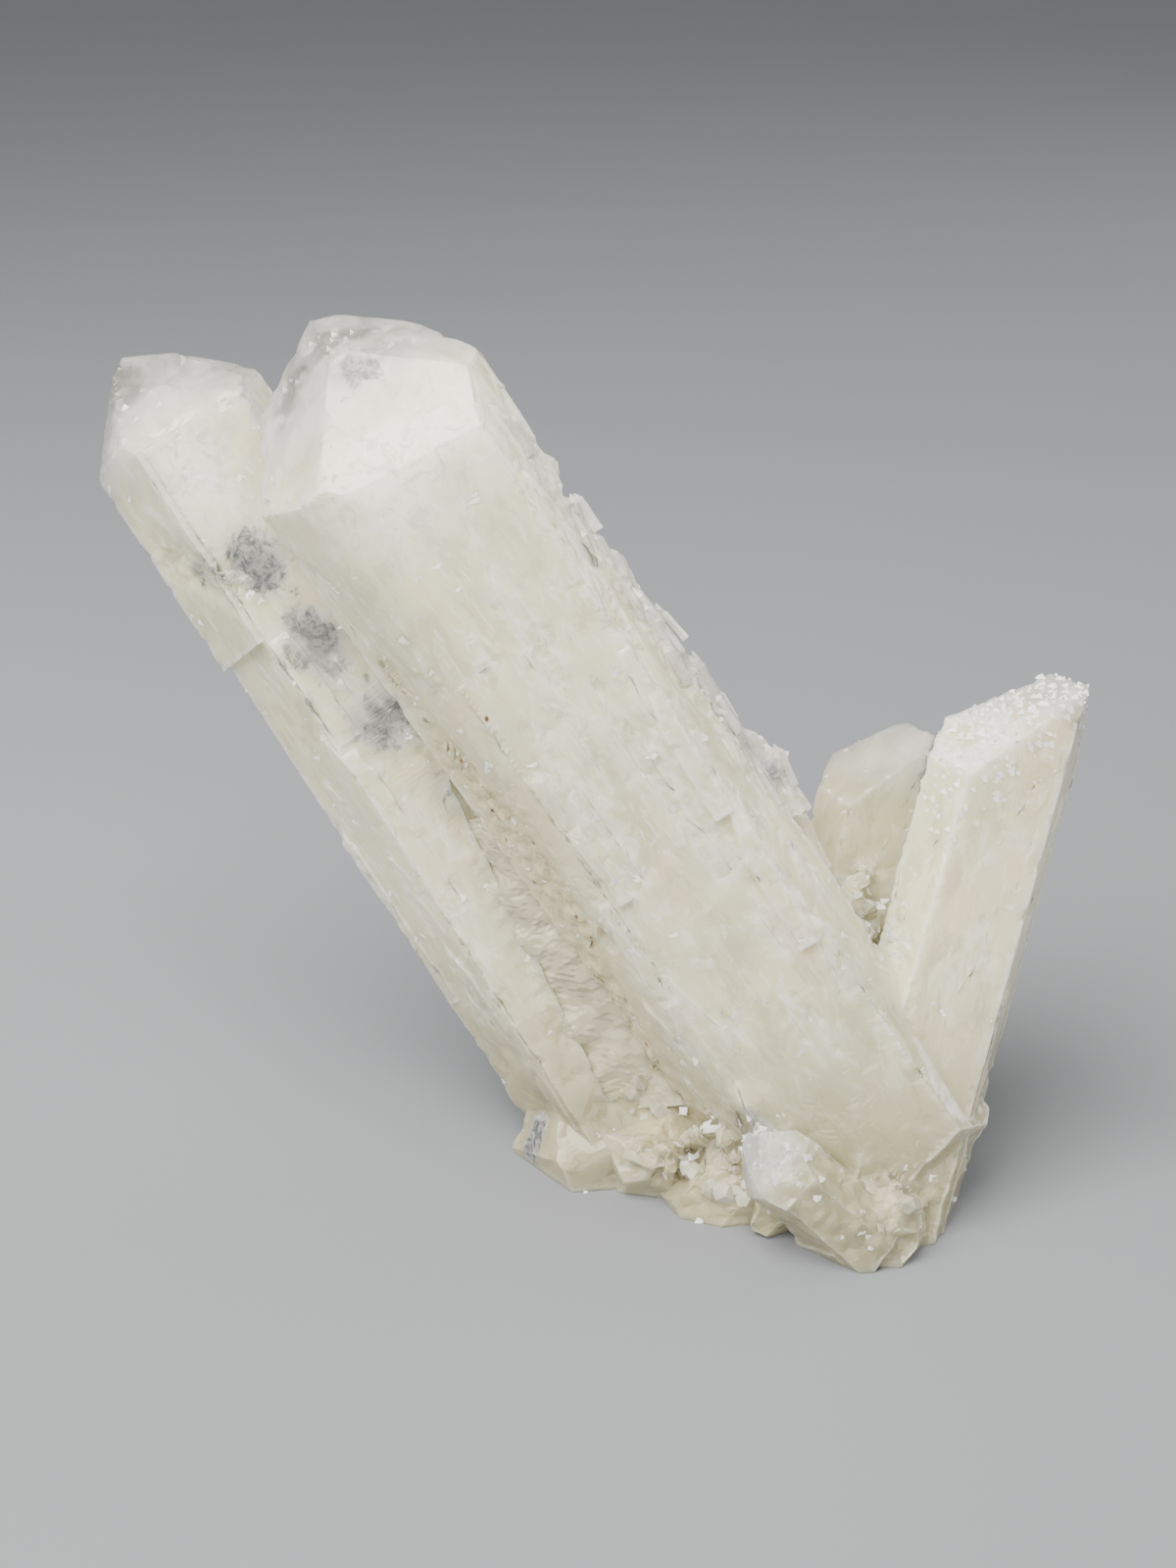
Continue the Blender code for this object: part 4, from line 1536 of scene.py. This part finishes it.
@dataclass
class MilkyHeart:
    """The milk inside the crystals: the solid's form, well below its faces.

    Attributes:
        voxel: Size of its squares.
        least_cover: Least quartz that is left over it anywhere.
        shrink_rounds: Most rounds in which it shrinks where it comes nearer than that.
        cover: Clear quartz over it along the crystals.
        tip_cover: Clear quartz over it at the tips.
        cloud_cover: Clear quartz over it below the clouds.
        window_cover: Clear quartz over it behind the windows.
        billow: Height of its cloudy swells.
        billow_size: Width of those.
        deepest_share: How deep it may lie at most, as a share of the crystal's thickness there.
        thickest: Thickness that is taken where none is found.
        smooth_rounds: Rounds in which it is smoothed.
        shrink_step: How far it shrinks in one round.
        painted_dark_spread: How much larger than a window the painted dark behind it is, along and across.
        finish: The material.
    """

    voxel: float = 0.95
    least_cover: float = 0.4
    shrink_rounds: int = 60
    cover: float = 1.8
    tip_cover: float = 5.5
    cloud_cover: float = 1.5
    window_cover: float = 4.0
    billow: float = 0.7
    billow_size: float = 3.2
    deepest_share: float = 0.46
    thickest: float = 40.0
    smooth_rounds: int = 3
    shrink_step: float = 0.12
    painted_dark_spread: Span = (1.2, 2.2)
    finish: HeartFinish = field(default_factory=HeartFinish)

    def cover_at(self, survey: Survey) -> np.ndarray:
        """Return how much clear quartz lies over the milk at each point.

        Args:
            survey: What is known about the points.

        Returns:
            One length a point, in mm.
        """
        tip_share = smooth_step(survey.below_tip / survey.trait("clear_length"), 1.4, 0.4)
        cover = self.cover + (self.tip_cover - self.cover) * tip_share
        cover += (self.cloud_cover - cover) * survey.total(CLOUDS)
        cover += (self.window_cover - cover) * survey.total(WINDOWS)
        return cover + self.billow * wave(survey.points, self.billow_size, seed=21)

    def sunk(self, mesh: Mesh, solid: BVHTree) -> None:
        """Move a copy of the solid's surface inwards by the cover, in thin places by less.

        Args:
            mesh: The copy, changed here.
            solid: The solid's own faces.
        """
        points, normals = mesh_arrays(mesh)
        through = []
        for point, normal in zip(points, normals):
            start = Vector(point - 0.3 * normal) * MM
            hit = solid.ray_cast(start, Vector(-normal))
            through.append(self.thickest if hit[3] is None else hit[3] / MM)
        depth = np.minimum(self.cover_at(Survey(points, normals)), self.deepest_share * np.array(through))
        move_points(mesh, points - depth[:, None] * normals)

    @staticmethod
    def rise(place: Vector, skin: BVHTree) -> float:
        """Return how far a place lies over the worked faces, under 0 for inside, in mm."""
        near, normal, _, distance = skin.find_nearest(place)
        return math.copysign(distance, (place - near).dot(normal)) / MM

    def held_inside(self, mesh: Mesh, skin: BVHTree) -> None:
        """Smooth the milk, shrink it where it comes too near the faces, and open it across crevices.

        Args:
            mesh: The milk, changed here.
            skin: The worked faces over it.
        """
        flags = {"use_axis_x": True, "use_axis_y": True, "use_axis_z": True}
        with Editing(mesh) as work:
            for _ in range(self.smooth_rounds):
                bmesh.ops.smooth_vert(work, verts=work.verts, factor=0.5, **flags)
            for _ in range(self.shrink_rounds):
                near = [vert for vert in work.verts if self.rise(vert.co, skin) > -self.least_cover]
                if not near:
                    break
                bmesh.ops.smooth_vert(work, verts=near, factor=0.9, **flags)
                for vert in near:
                    vert.co -= self.shrink_step * MM * vert.normal
                work.normal_update()
            stray = [face for face in work.faces
                     if self.rise(face.calc_center_median(), skin) > -0.5 * self.least_cover]
            bmesh.ops.delete(work, geom=stray, context="FACES")
            LOG.info("quartz_milk: %d faces in crevices left out", len(stray))

    def build(self, solid: Mesh, skin: Mesh) -> Object:
        """Build and dress the milk.

        Args:
            solid: The merged solid.
            skin: The worked faces over the milk.

        Returns:
            The finished piece.
        """
        mesh = remeshed(solid, self.voxel)
        self.sunk(mesh, face_tree(solid))
        mesh = remeshed(mesh, self.voxel)
        largest_body(mesh)
        self.held_inside(mesh, face_tree(skin))
        points, _ = mesh_arrays(mesh)
        # Painted dark on the milk behind the windows
        along, across = self.painted_dark_spread
        smoke = sum(Patch(window.centre, along * window.along, across * window.across,
                          window.strength, window.host).at(points) for window in WINDOWS)
        store_mask(mesh, Mask.SMOKE, to_unit(smoke))
        mesh.shade_smooth()
        mesh.materials.append(self.finish.make())
        piece = new_object("quartz_milk", mesh)
        ride(piece)
        return piece


@dataclass(frozen=True)
class SlimForm:
    """A small closed crystal that is grown many times: six sides, a point and a flat foot.

    Attributes:
        radius: Half its width, for a height of 1 above its origin.
        thin: Its thickness as a share of its width.
        shoulder: Height at which the point starts.
        foot: Height of its lower end, under 0 as it is sunk in.
        shoulder_lean: How much higher the point starts on one side than in the middle.
        point_shift: How far the point lies to that side, as a share of the radius.
    """

    radius: float
    thin: float = 1.0
    shoulder: float = 0.6
    foot: float = -0.5
    shoulder_lean: float = 0.08
    point_shift: float = 0.15

    def build(self) -> Object:
        """Return the form as an object, its thin side along Y and its point along Z."""
        turns = [math.radians(60.0 * step + 30.0) for step in range(6)]
        mesh = bpy.data.meshes.new("slim_form")
        with Editing(mesh) as work:
            rings = []
            for height, lean in ((self.foot, 0.0), (self.shoulder, self.shoulder_lean)):
                rings.append([work.verts.new((self.radius * math.cos(turn),
                                              self.radius * self.thin * math.sin(turn),
                                              height + lean * math.cos(turn))) for turn in turns])
            point = work.verts.new((self.point_shift * self.radius, 0.0, 1.0))
            for step in range(6):
                after = (step + 1) % 6
                work.faces.new((rings[0][step], rings[0][after], rings[1][after], rings[1][step]))
                work.faces.new((rings[1][step], rings[1][after], point))
            work.faces.new(reversed(rings[0]))
            bmesh.ops.recalc_face_normals(work, faces=work.faces)
        return new_object("slim_form", mesh)


@dataclass(frozen=True)
class FlakeForm:
    """A thin bent flake, set many times on the faces and inside the clear quartz as painted glints.

    Attributes:
        radii: How far its corners are from its middle, one a corner, for a size of 1.
        thickness: How thick it is.
        bend: How much its ends curl.
    """

    radii: tuple[float, ...] = (0.5, 0.34, 0.46, 0.3, 0.52, 0.38, 0.28)
    thickness: float = 0.03
    bend: float = 0.12

    def build(self) -> Object:
        """Return the form as an object that lies in the XZ plane."""
        count = len(self.radii)
        mesh = bpy.data.meshes.new("flake_form")
        with Editing(mesh) as work:
            sheets = []
            for level in (-0.5 * self.thickness, 0.5 * self.thickness):
                sheet = []
                for step, radius in enumerate(self.radii):
                    turn = math.tau * step / count
                    across = radius * math.cos(turn)
                    sheet.append(work.verts.new((across, level + self.bend * across * across,
                                                 radius * math.sin(turn))))
                sheets.append(sheet)
            for step in range(count):
                after = (step + 1) % count
                work.faces.new((sheets[0][step], sheets[0][after], sheets[1][after], sheets[1][step]))
            work.faces.new(sheets[0])
            work.faces.new(reversed(sheets[1]))
            bmesh.ops.recalc_face_normals(work, faces=work.faces)
        return new_object("flake_form", mesh)


class GrowthTree(NodeBoard):
    """The node tree that grows a small form over a surface, again and again."""

    INPUTS = (
        ("Surface", "Geometry"), ("Form", "Object"), ("Where", "String"), ("Density", "Float"),
        ("Shortest", "Float"), ("Longest", "Float"), ("Upright", "Float"), ("Tilt", "Float"),
        ("Spin", "Float"), ("Sink", "Float"), ("Seed", "Int"), ("Finish", "Material"),
    )

    def __init__(self) -> None:
        """Build the tree."""
        super().__init__(bpy.data.node_groups.new("small_growth", "GeometryNodeTree"))
        for name, kind in self.INPUTS:
            self.tree.interface.new_socket(name, in_out="INPUT", socket_type="NodeSocket" + kind)
        self.tree.interface.new_socket("Growth", in_out="OUTPUT", socket_type="NodeSocketGeometry")
        given = self.add("NodeGroupInput").outputs
        self.given = {name: given[name] for name, _ in self.INPUTS}
        points, normal = self.scattered()
        rotation = self.turned(normal)
        forms = self.add("GeometryNodeInstanceOnPoints")
        self.put(points, forms.inputs["Points"])
        self.put(self.form(), forms.inputs["Instance"])
        self.put(rotation, forms.inputs["Rotation"])
        self.put(self.sizes(), forms.inputs["Scale"])
        real = self.add("GeometryNodeRealizeInstances")
        self.put(forms.outputs["Instances"], real.inputs["Geometry"])
        finish = self.add("GeometryNodeSetMaterial")
        self.put(real.outputs["Geometry"], finish.inputs["Geometry"])
        self.put(self.given["Finish"], finish.inputs["Material"])
        self.put(finish.outputs["Geometry"], self.add("NodeGroupOutput").inputs[0])

    def attribute(self, name: object, kind: str) -> Socket:
        """Return an attribute of the surface, by its name and data type."""
        node = self.add("GeometryNodeInputNamedAttribute", data_type=kind)
        self.put(name, node.inputs["Name"])
        return node.outputs["Attribute"]

    def chance(self, kind: str, low: object, high: object, offset: int) -> Socket:
        """Return random values for each form.

        Args:
            kind: Data type of the values.
            low: The least of them.
            high: The most of them.
            offset: Added to the seed, so that each use differs.

        Returns:
            The output with the values.
        """
        node = self.add("FunctionNodeRandomValue", data_type=kind)
        sockets = [socket for socket in node.inputs if socket.enabled]
        self.put(low, sockets[0])
        self.put(high, sockets[1])
        self.put(self.math("ADD", self.given["Seed"], offset), node.inputs["Seed"])
        return next(socket for socket in node.outputs if socket.enabled)

    def scattered(self) -> tuple[Socket, Socket]:
        """Return the points where forms grow, and the surface's normal there."""
        spread = self.add("GeometryNodeDistributePointsOnFaces", distribute_method="RANDOM")
        self.put(self.given["Surface"], spread.inputs["Mesh"])
        density = self.math("MULTIPLY", self.attribute(self.given["Where"], "FLOAT"), self.given["Density"])
        self.put(density, spread.inputs["Density"])
        self.put(self.given["Seed"], spread.inputs["Seed"])
        sunk = self.add("GeometryNodeSetPosition")
        self.put(spread.outputs["Points"], sunk.inputs["Geometry"])
        depth = self.math("MULTIPLY", self.given["Sink"], -1.0)
        self.put(self.vector_math("SCALE", spread.outputs["Normal"], depth), sunk.inputs["Offset"])
        return sunk.outputs["Geometry"], spread.outputs["Normal"]

    def turned(self, normal: Socket) -> Socket:
        """Return how each form is turned.

        Args:
            normal: The surface's normal at the points.

        Returns:
            The rotation: its point between the normal and the crystal's axis, then tilted.
        """
        upright = self.given["Upright"]
        outwards = self.vector_math("SCALE", normal, self.math("SUBTRACT", 1.0, upright))
        along = self.vector_math("SCALE", self.attribute(GROWTH_AXIS, "FLOAT_VECTOR"), upright)
        tilt = self.chance("FLOAT_VECTOR", (-1.0, -1.0, -1.0), (1.0, 1.0, 1.0), 1)
        tilt = self.vector_math("SCALE", tilt, self.given["Tilt"])
        heading = self.vector_math("ADD", self.vector_math("ADD", outwards, along), tilt)
        axes = self.add("FunctionNodeAxesToRotation", primary_axis="Z", secondary_axis="Y")
        self.put(heading, axes.inputs[0])
        self.put(normal, axes.inputs[1])
        spin = self.math("MULTIPLY", self.chance("FLOAT", 0.0, math.tau, 2), self.given["Spin"])
        about = self.add("ShaderNodeCombineXYZ")
        self.put(spin, about.inputs["Z"])
        turn = self.add("FunctionNodeRotateRotation", rotation_space="LOCAL")
        self.put(axes.outputs[0], turn.inputs[0])
        self.put(about.outputs[0], turn.inputs[1])
        return turn.outputs[0]

    def form(self) -> Socket:
        """Return the geometry of the form."""
        info = self.add("GeometryNodeObjectInfo")
        self.put(self.given["Form"], info.inputs["Object"])
        return info.outputs["Geometry"]

    def sizes(self) -> Socket:
        """Return each form's size, its width a little different from its height."""
        height = self.chance("FLOAT", self.given["Shortest"], self.given["Longest"], 3)
        width = self.math("MULTIPLY", height, self.chance("FLOAT", 0.75, 1.25, 4))
        size = self.add("ShaderNodeCombineXYZ")
        for socket, value in zip(size.inputs, (width, width, height)):
            self.put(value, socket)
        return size.outputs[0]


@dataclass
class Growth:
    """Small forms that cover part of a surface.

    Attributes:
        name: Name of the piece.
        form: What grows.
        where: The mask that says where it grows.
        density: How many to the square millimetre.
        length: Shortest and longest, in mm.
        upright: 0 to stand out from the surface, 1 to lie along the crystal.
        tilt: How far the forms lean at random.
        spin: 1 to turn them at random about their length, 0 to lay them flat.
        sink: How far the origin lies under the surface, in mm.
        seed: Which random growth it is.
        finish: The material.
    """

    name: str
    form: SlimForm | FlakeForm
    where: Mask
    density: float
    length: Span
    upright: float
    tilt: float
    spin: float
    sink: float
    seed: int
    finish: GlintFinish

    def build(self, surface: Mesh, tree: GrowthTree, finish: Material) -> Object:
        """Grow the forms and make them one plain mesh.

        Args:
            surface: What they grow on.
            tree: The node tree.
            finish: Their material, made from their finish.

        Returns:
            The finished piece.
        """
        form = self.form.build()
        bed = new_object(self.name + "_bed", surface.copy())
        modifier = bed.modifiers.new("growth", "NODES")
        modifier.node_group = tree.tree
        values = {
            "Form": form, "Where": self.where.value, "Density": self.density / MM**2,
            "Shortest": self.length[0] * MM, "Longest": self.length[1] * MM, "Upright": self.upright,
            "Tilt": self.tilt, "Spin": self.spin, "Sink": self.sink * MM, "Seed": self.seed,
            "Finish": finish,
        }
        for item in tree.tree.interface.items_tree:
            if item.name in values:
                modifier[item.identifier] = values[item.name]
        depsgraph = bpy.context.evaluated_depsgraph_get()
        mesh = bpy.data.meshes.new_from_object(bed.evaluated_get(depsgraph))
        bed.modifiers.remove(modifier)
        for helper in (bed, form):
            bpy.data.objects.remove(helper)
        points, _ = mesh_arrays(mesh)
        move_points(mesh, hold_in_box(points))
        mesh.name = self.name
        piece = new_object(self.name, mesh)
        ride(piece)
        return piece


@dataclass
class CreviceCrust:
    """The flaky crust that closes the crevice between the left and the main crystal, stained, and darker
    still as painted shade.

    Attributes:
        left: Places on the left crystal's border, from the top down.
        right: As many places on the main crystal's border.
        rows: How many points it has along the crevice.
        columns: How many across.
        overlap: How far it goes into both crystals, as a share of its width.
        sink: How far it lies below the borders.
        layers: About how many layers of flakes the noise makes.
        layer_size: Width of a layer.
        step: Height of one layer.
        pyramid_size: Distance between the small pyramids on the layers.
        thickness: How thick the crust is.
        finish: The material.
    """

    left: tuple[Place, ...] = (
        (-13.1, -0.6, 35.2), (-11.6, -1.6, 32.4), (-9.4, -3.5, 27.7), (-7.7, -4.7, 24.5), (-6.1, -5.9, 21.5),
        (-4.2, -7.2, 17.9), (-2.4, -8.5, 14.5), (0.4, -10.2, 10.1), (1.8, -11.0, 7.6))
    right: tuple[Place, ...] = (
        (-11.0, -2.0, 36.5), (-9.5, -3.8, 34.5), (-7.3, -5.3, 31.6), (-4.8, -6.4, 28.2), (-2.7, -6.8, 25.1),
        (0.3, -8.0, 21.2), (2.6, -8.6, 17.2), (5.0, -9.2, 12.0), (7.6, -11.0, 8.0))
    rows: int = 90
    columns: int = 20
    overlap: float = 0.4
    sink: float = 0.75
    layers: float = 4.0
    layer_size: float = 4.2
    step: float = 0.17
    pyramid_size: float = 2.1
    thickness: float = 1.6
    finish: GlintFinish = CRUST_STAIN_AND_PAINTED_SHADE

    def middle_sheet(self) -> tuple[np.ndarray, np.ndarray]:
        """Return the sheet's points, row by row, and the direction that faces out at each."""
        places = np.linspace(0.0, len(self.left) - 1.0, self.rows)
        known = np.arange(len(self.left))
        left, right = (np.array([np.interp(places, known, part) for part in zip(*line)]).T
                       for line in (self.left, self.right))
        across = right - left
        shares = np.linspace(-self.overlap, 1.0 + self.overlap, self.columns)
        points = left[:, None] + shares[None, :, None] * across[:, None]
        outwards = np.cross(across, np.gradient(0.5 * (left + right), axis=0))
        outwards /= np.linalg.norm(outwards, axis=1)[:, None]
        outwards *= -np.sign(outwards[:, 1:2])
        return points.reshape(-1, 3), np.repeat(outwards, self.columns, axis=0)

    def faces(self) -> list[tuple[int, ...]]:
        """Return the faces of the closed crust: its front, its back and the strip between them."""
        count = self.rows * self.columns
        faces = []
        for row in range(self.rows - 1):
            for column in range(self.columns - 1):
                first = row * self.columns + column
                front = (first, first + 1, first + self.columns + 1, first + self.columns)
                faces.append(front)
                faces.append(tuple(corner + count for corner in reversed(front)))
        last = count - self.columns
        rim = [*range(self.columns), *range(2 * self.columns - 1, count, self.columns),
               *range(count - 2, last - 1, -1), *range(last - self.columns, 0, -self.columns)]
        for corner, after in zip(rim, rim[1:] + rim[:1]):
            faces.append((corner, corner + count, after + count, after))
        return faces

    def build(self) -> Object:
        """Return the finished piece."""
        points, outwards = self.middle_sheet()
        layers = np.floor(self.layers * wave(points, self.layer_size, seed=41))
        height = self.step * layers + self.step * pyramids(points, self.pyramid_size, seed=6) - self.sink
        front = points + np.minimum(height, 0.0)[:, None] * outwards
        back = points - (self.sink + self.thickness) * outwards
        mesh = bpy.data.meshes.new("crevice_crust")
        corners = hold_in_box(np.concatenate((front, back))) * MM
        mesh.from_pydata(corners.tolist(), [], self.faces())
        with Editing(mesh) as work:
            bmesh.ops.recalc_face_normals(work, faces=work.faces)
        mesh.materials.append(self.finish.make())
        piece = new_object("crevice_crust", mesh)
        ride(piece)
        return piece


CRYSTALS_ON_SKIN = (
    Growth("drusy_crystals", SlimForm(radius=0.42, shoulder=0.5), Mask.DRUSE, density=0.17, length=(1.0, 2.5),
           upright=0.3, tilt=0.45, spin=1.0, sink=0.5, seed=3, finish=DRUSY_QUARTZ),
    Growth("tip_grit", SlimForm(radius=0.5, shoulder=0.4), Mask.GRIT, density=0.3, length=(0.25, 0.5),
           upright=0.7, tilt=0.3, spin=1.0, sink=0.1, seed=5, finish=DRUSY_QUARTZ),
    Growth("ledge_crystals", SlimForm(radius=0.24, thin=0.85, shoulder=0.66), Mask.LEDGE, density=0.42,
           length=(1.5, 3.6), upright=0.9, tilt=0.08, spin=0.0, sink=0.35, seed=8, finish=LEDGE_QUARTZ),
)
# White flakes: painted glints and sparkles on the faces, and painted glints of veils inside the clear tips
FLAKES_ON_SKIN = (
    Growth("surface_glints", FlakeForm(), Mask.PAINTED_GLINT, density=0.1, length=(0.25, 1.3),
           upright=0.94, tilt=0.2, spin=0.0, sink=0.02, seed=17, finish=PAINTED_GLINT_FLAKES),
    Growth("sparkling_flakes", FlakeForm(), Mask.PAINTED_SPARKLE, density=1.8, length=(0.25, 1.1),
           upright=0.92, tilt=0.22, spin=0.0, sink=-0.02, seed=23, finish=PAINTED_GLINT_FLAKES),
    Growth("inner_veils", FlakeForm(), Mask.PAINTED_VEIL_GLINT, density=0.2, length=(0.4, 2.2),
           upright=0.9, tilt=0.5, spin=0.0, sink=0.8, seed=14, finish=PAINTED_GLINT_FLAKES),
)


@dataclass(frozen=True)
class Lamp:
    """A square soft lamp that points at the cluster.

    Attributes:
        name: Its name.
        place: Where it hangs, in metres.
        size: Its side, in metres.
        power: Its power in watts.
        colour: Its colour.
        aim: Where it points, in metres.
    """

    name: str
    place: Place
    size: float
    power: float
    colour: Colour
    aim: Place = (0.0, 0.0, 0.045)

    def hang(self) -> None:
        """Hang the lamp."""
        light = bpy.data.lights.new(self.name, "AREA")
        light.shape = "SQUARE"
        light.size = self.size
        light.energy = self.power
        light.color = self.colour
        lamp = new_object(self.name, light)
        lamp.location = self.place
        lamp.rotation_euler = (Vector(self.aim) - Vector(self.place)).to_track_quat("-Z", "Y").to_euler()


@dataclass
class Studio:
    """A pale floor, soft lamps, and the camera where the photograph was taken from.

    Attributes:
        floor_half: Half the floor's side, in metres.
        floor_colour: Its colour.
        floor_blotch: The wide soft blotches in it.
        floor_grit: The fine noise that it is bumped with.
        room_colour: Colour of the even light in the room.
        room_light: Its strength.
        camera_place: Where the camera stands.
        camera_elevation_deg: How steeply it looks down.
        lens: Its focal length.
        sensor: Width of its sensor.
        lamps: The lamps.
    """

    floor_half: float = 3.0
    floor_colour: Colour = (0.235, 0.25, 0.28)
    floor_blotch: Grain = Grain(60.0, detail=4.0)
    floor_grit: Grain = Grain(0.8, detail=2.0)
    room_colour: Colour = (1.0, 0.985, 0.93)
    room_light: float = 0.5
    camera_place: Place = (-0.213, -198.686, 131.976)
    camera_elevation_deg: float = 25.0
    lens: float = 50.0
    sensor: float = 36.0
    lamps: tuple[Lamp, ...] = (
        Lamp("overhead", (-0.14, -0.1, 0.42), 0.36, 4.6, (1.0, 0.965, 0.87)),
        Lamp("front_fill", (0.1, -0.75, 0.35), 0.6, 2.3, (1.0, 0.97, 0.88)),
        Lamp("window_side", (-0.7, -0.3, 0.4), 0.5, 3.0, (0.97, 0.97, 0.94)),
        Lamp("right_rim", (0.6, 0.35, 0.4), 0.4, 2.0, (1.0, 0.99, 0.93)),
    )

    def lay_floor(self) -> None:
        """Lay the floor under the cluster."""
        mesh = bpy.data.meshes.new("floor")
        with Editing(mesh) as work:
            bmesh.ops.create_grid(work, x_segments=1, y_segments=1, size=self.floor_half)
        board = MaterialBoard("floor_paper")
        place = board.millimetres()
        shade = tuple(0.96 * part for part in self.floor_colour)
        board.surface(
            Base_Color=board.blend(board.noise(place, self.floor_blotch), self.floor_colour, shade),
            Roughness=0.8,
            Normal=board.bump(board.noise(place, self.floor_grit), 0.15, 0.1),
        )
        mesh.materials.append(board.material)
        new_object("floor", mesh)

    def set_world(self) -> None:
        """Give the room a soft even light."""
        world = bpy.data.worlds.new("room")
        world.use_nodes = True
        background = world.node_tree.nodes["Background"]
        background.inputs["Color"].default_value = (*self.room_colour, 1.0)
        background.inputs["Strength"].default_value = self.room_light
        bpy.context.scene.world = world

    def place_camera(self) -> None:
        """Set the camera at the photograph's angle."""
        data = bpy.data.cameras.new("camera")
        data.lens = self.lens
        data.sensor_width = self.sensor
        data.clip_start = 0.01
        camera = new_object("camera", data)
        camera.location = Vector(self.camera_place) * MM
        camera.rotation_euler = (math.radians(90.0 - self.camera_elevation_deg), 0.0, 0.0)
        bpy.context.scene.camera = camera

    def build(self) -> None:
        """Set the whole studio."""
        self.lay_floor()
        for lamp in self.lamps:
            lamp.hang()
        self.set_world()
        self.place_camera()


def clear_scene() -> None:
    """Remove whatever is in the scene besides the model."""
    kept = {*frame["nodes"].values(), *frame["bodies"].values()}
    for item in [item for item in bpy.data.objects if item not in kept]:
        bpy.data.objects.remove(item)


def main() -> None:
    """Build every piece of the dressed cluster and the studio around it."""
    logging.basicConfig(level=logging.INFO, format="%(name)s: %(message)s")
    clear_scene()
    Studio().build()
    LOG.info("studio set")
    solid = merged_solid(frame["nodes"][NODE])
    skin = QuartzSkin().build(solid)
    pieces = [skin, MilkyHeart().build(solid, skin.data)]
    tree = GrowthTree()
    materials = {finish: finish.make() for finish in (DRUSY_QUARTZ, LEDGE_QUARTZ, PAINTED_GLINT_FLAKES)}
    for growth in CRYSTALS_ON_SKIN:
        pieces.append(growth.build(skin.data, tree, materials[growth.finish]))
    pieces.append(CreviceCrust().build())
    for growth in FLAKES_ON_SKIN:
        pieces.append(growth.build(skin.data, tree, materials[growth.finish]))
    for piece in pieces:
        LOG.info("%s: %d faces", piece.name, len(piece.data.polygons))


if __name__ == "__main__":
    main()
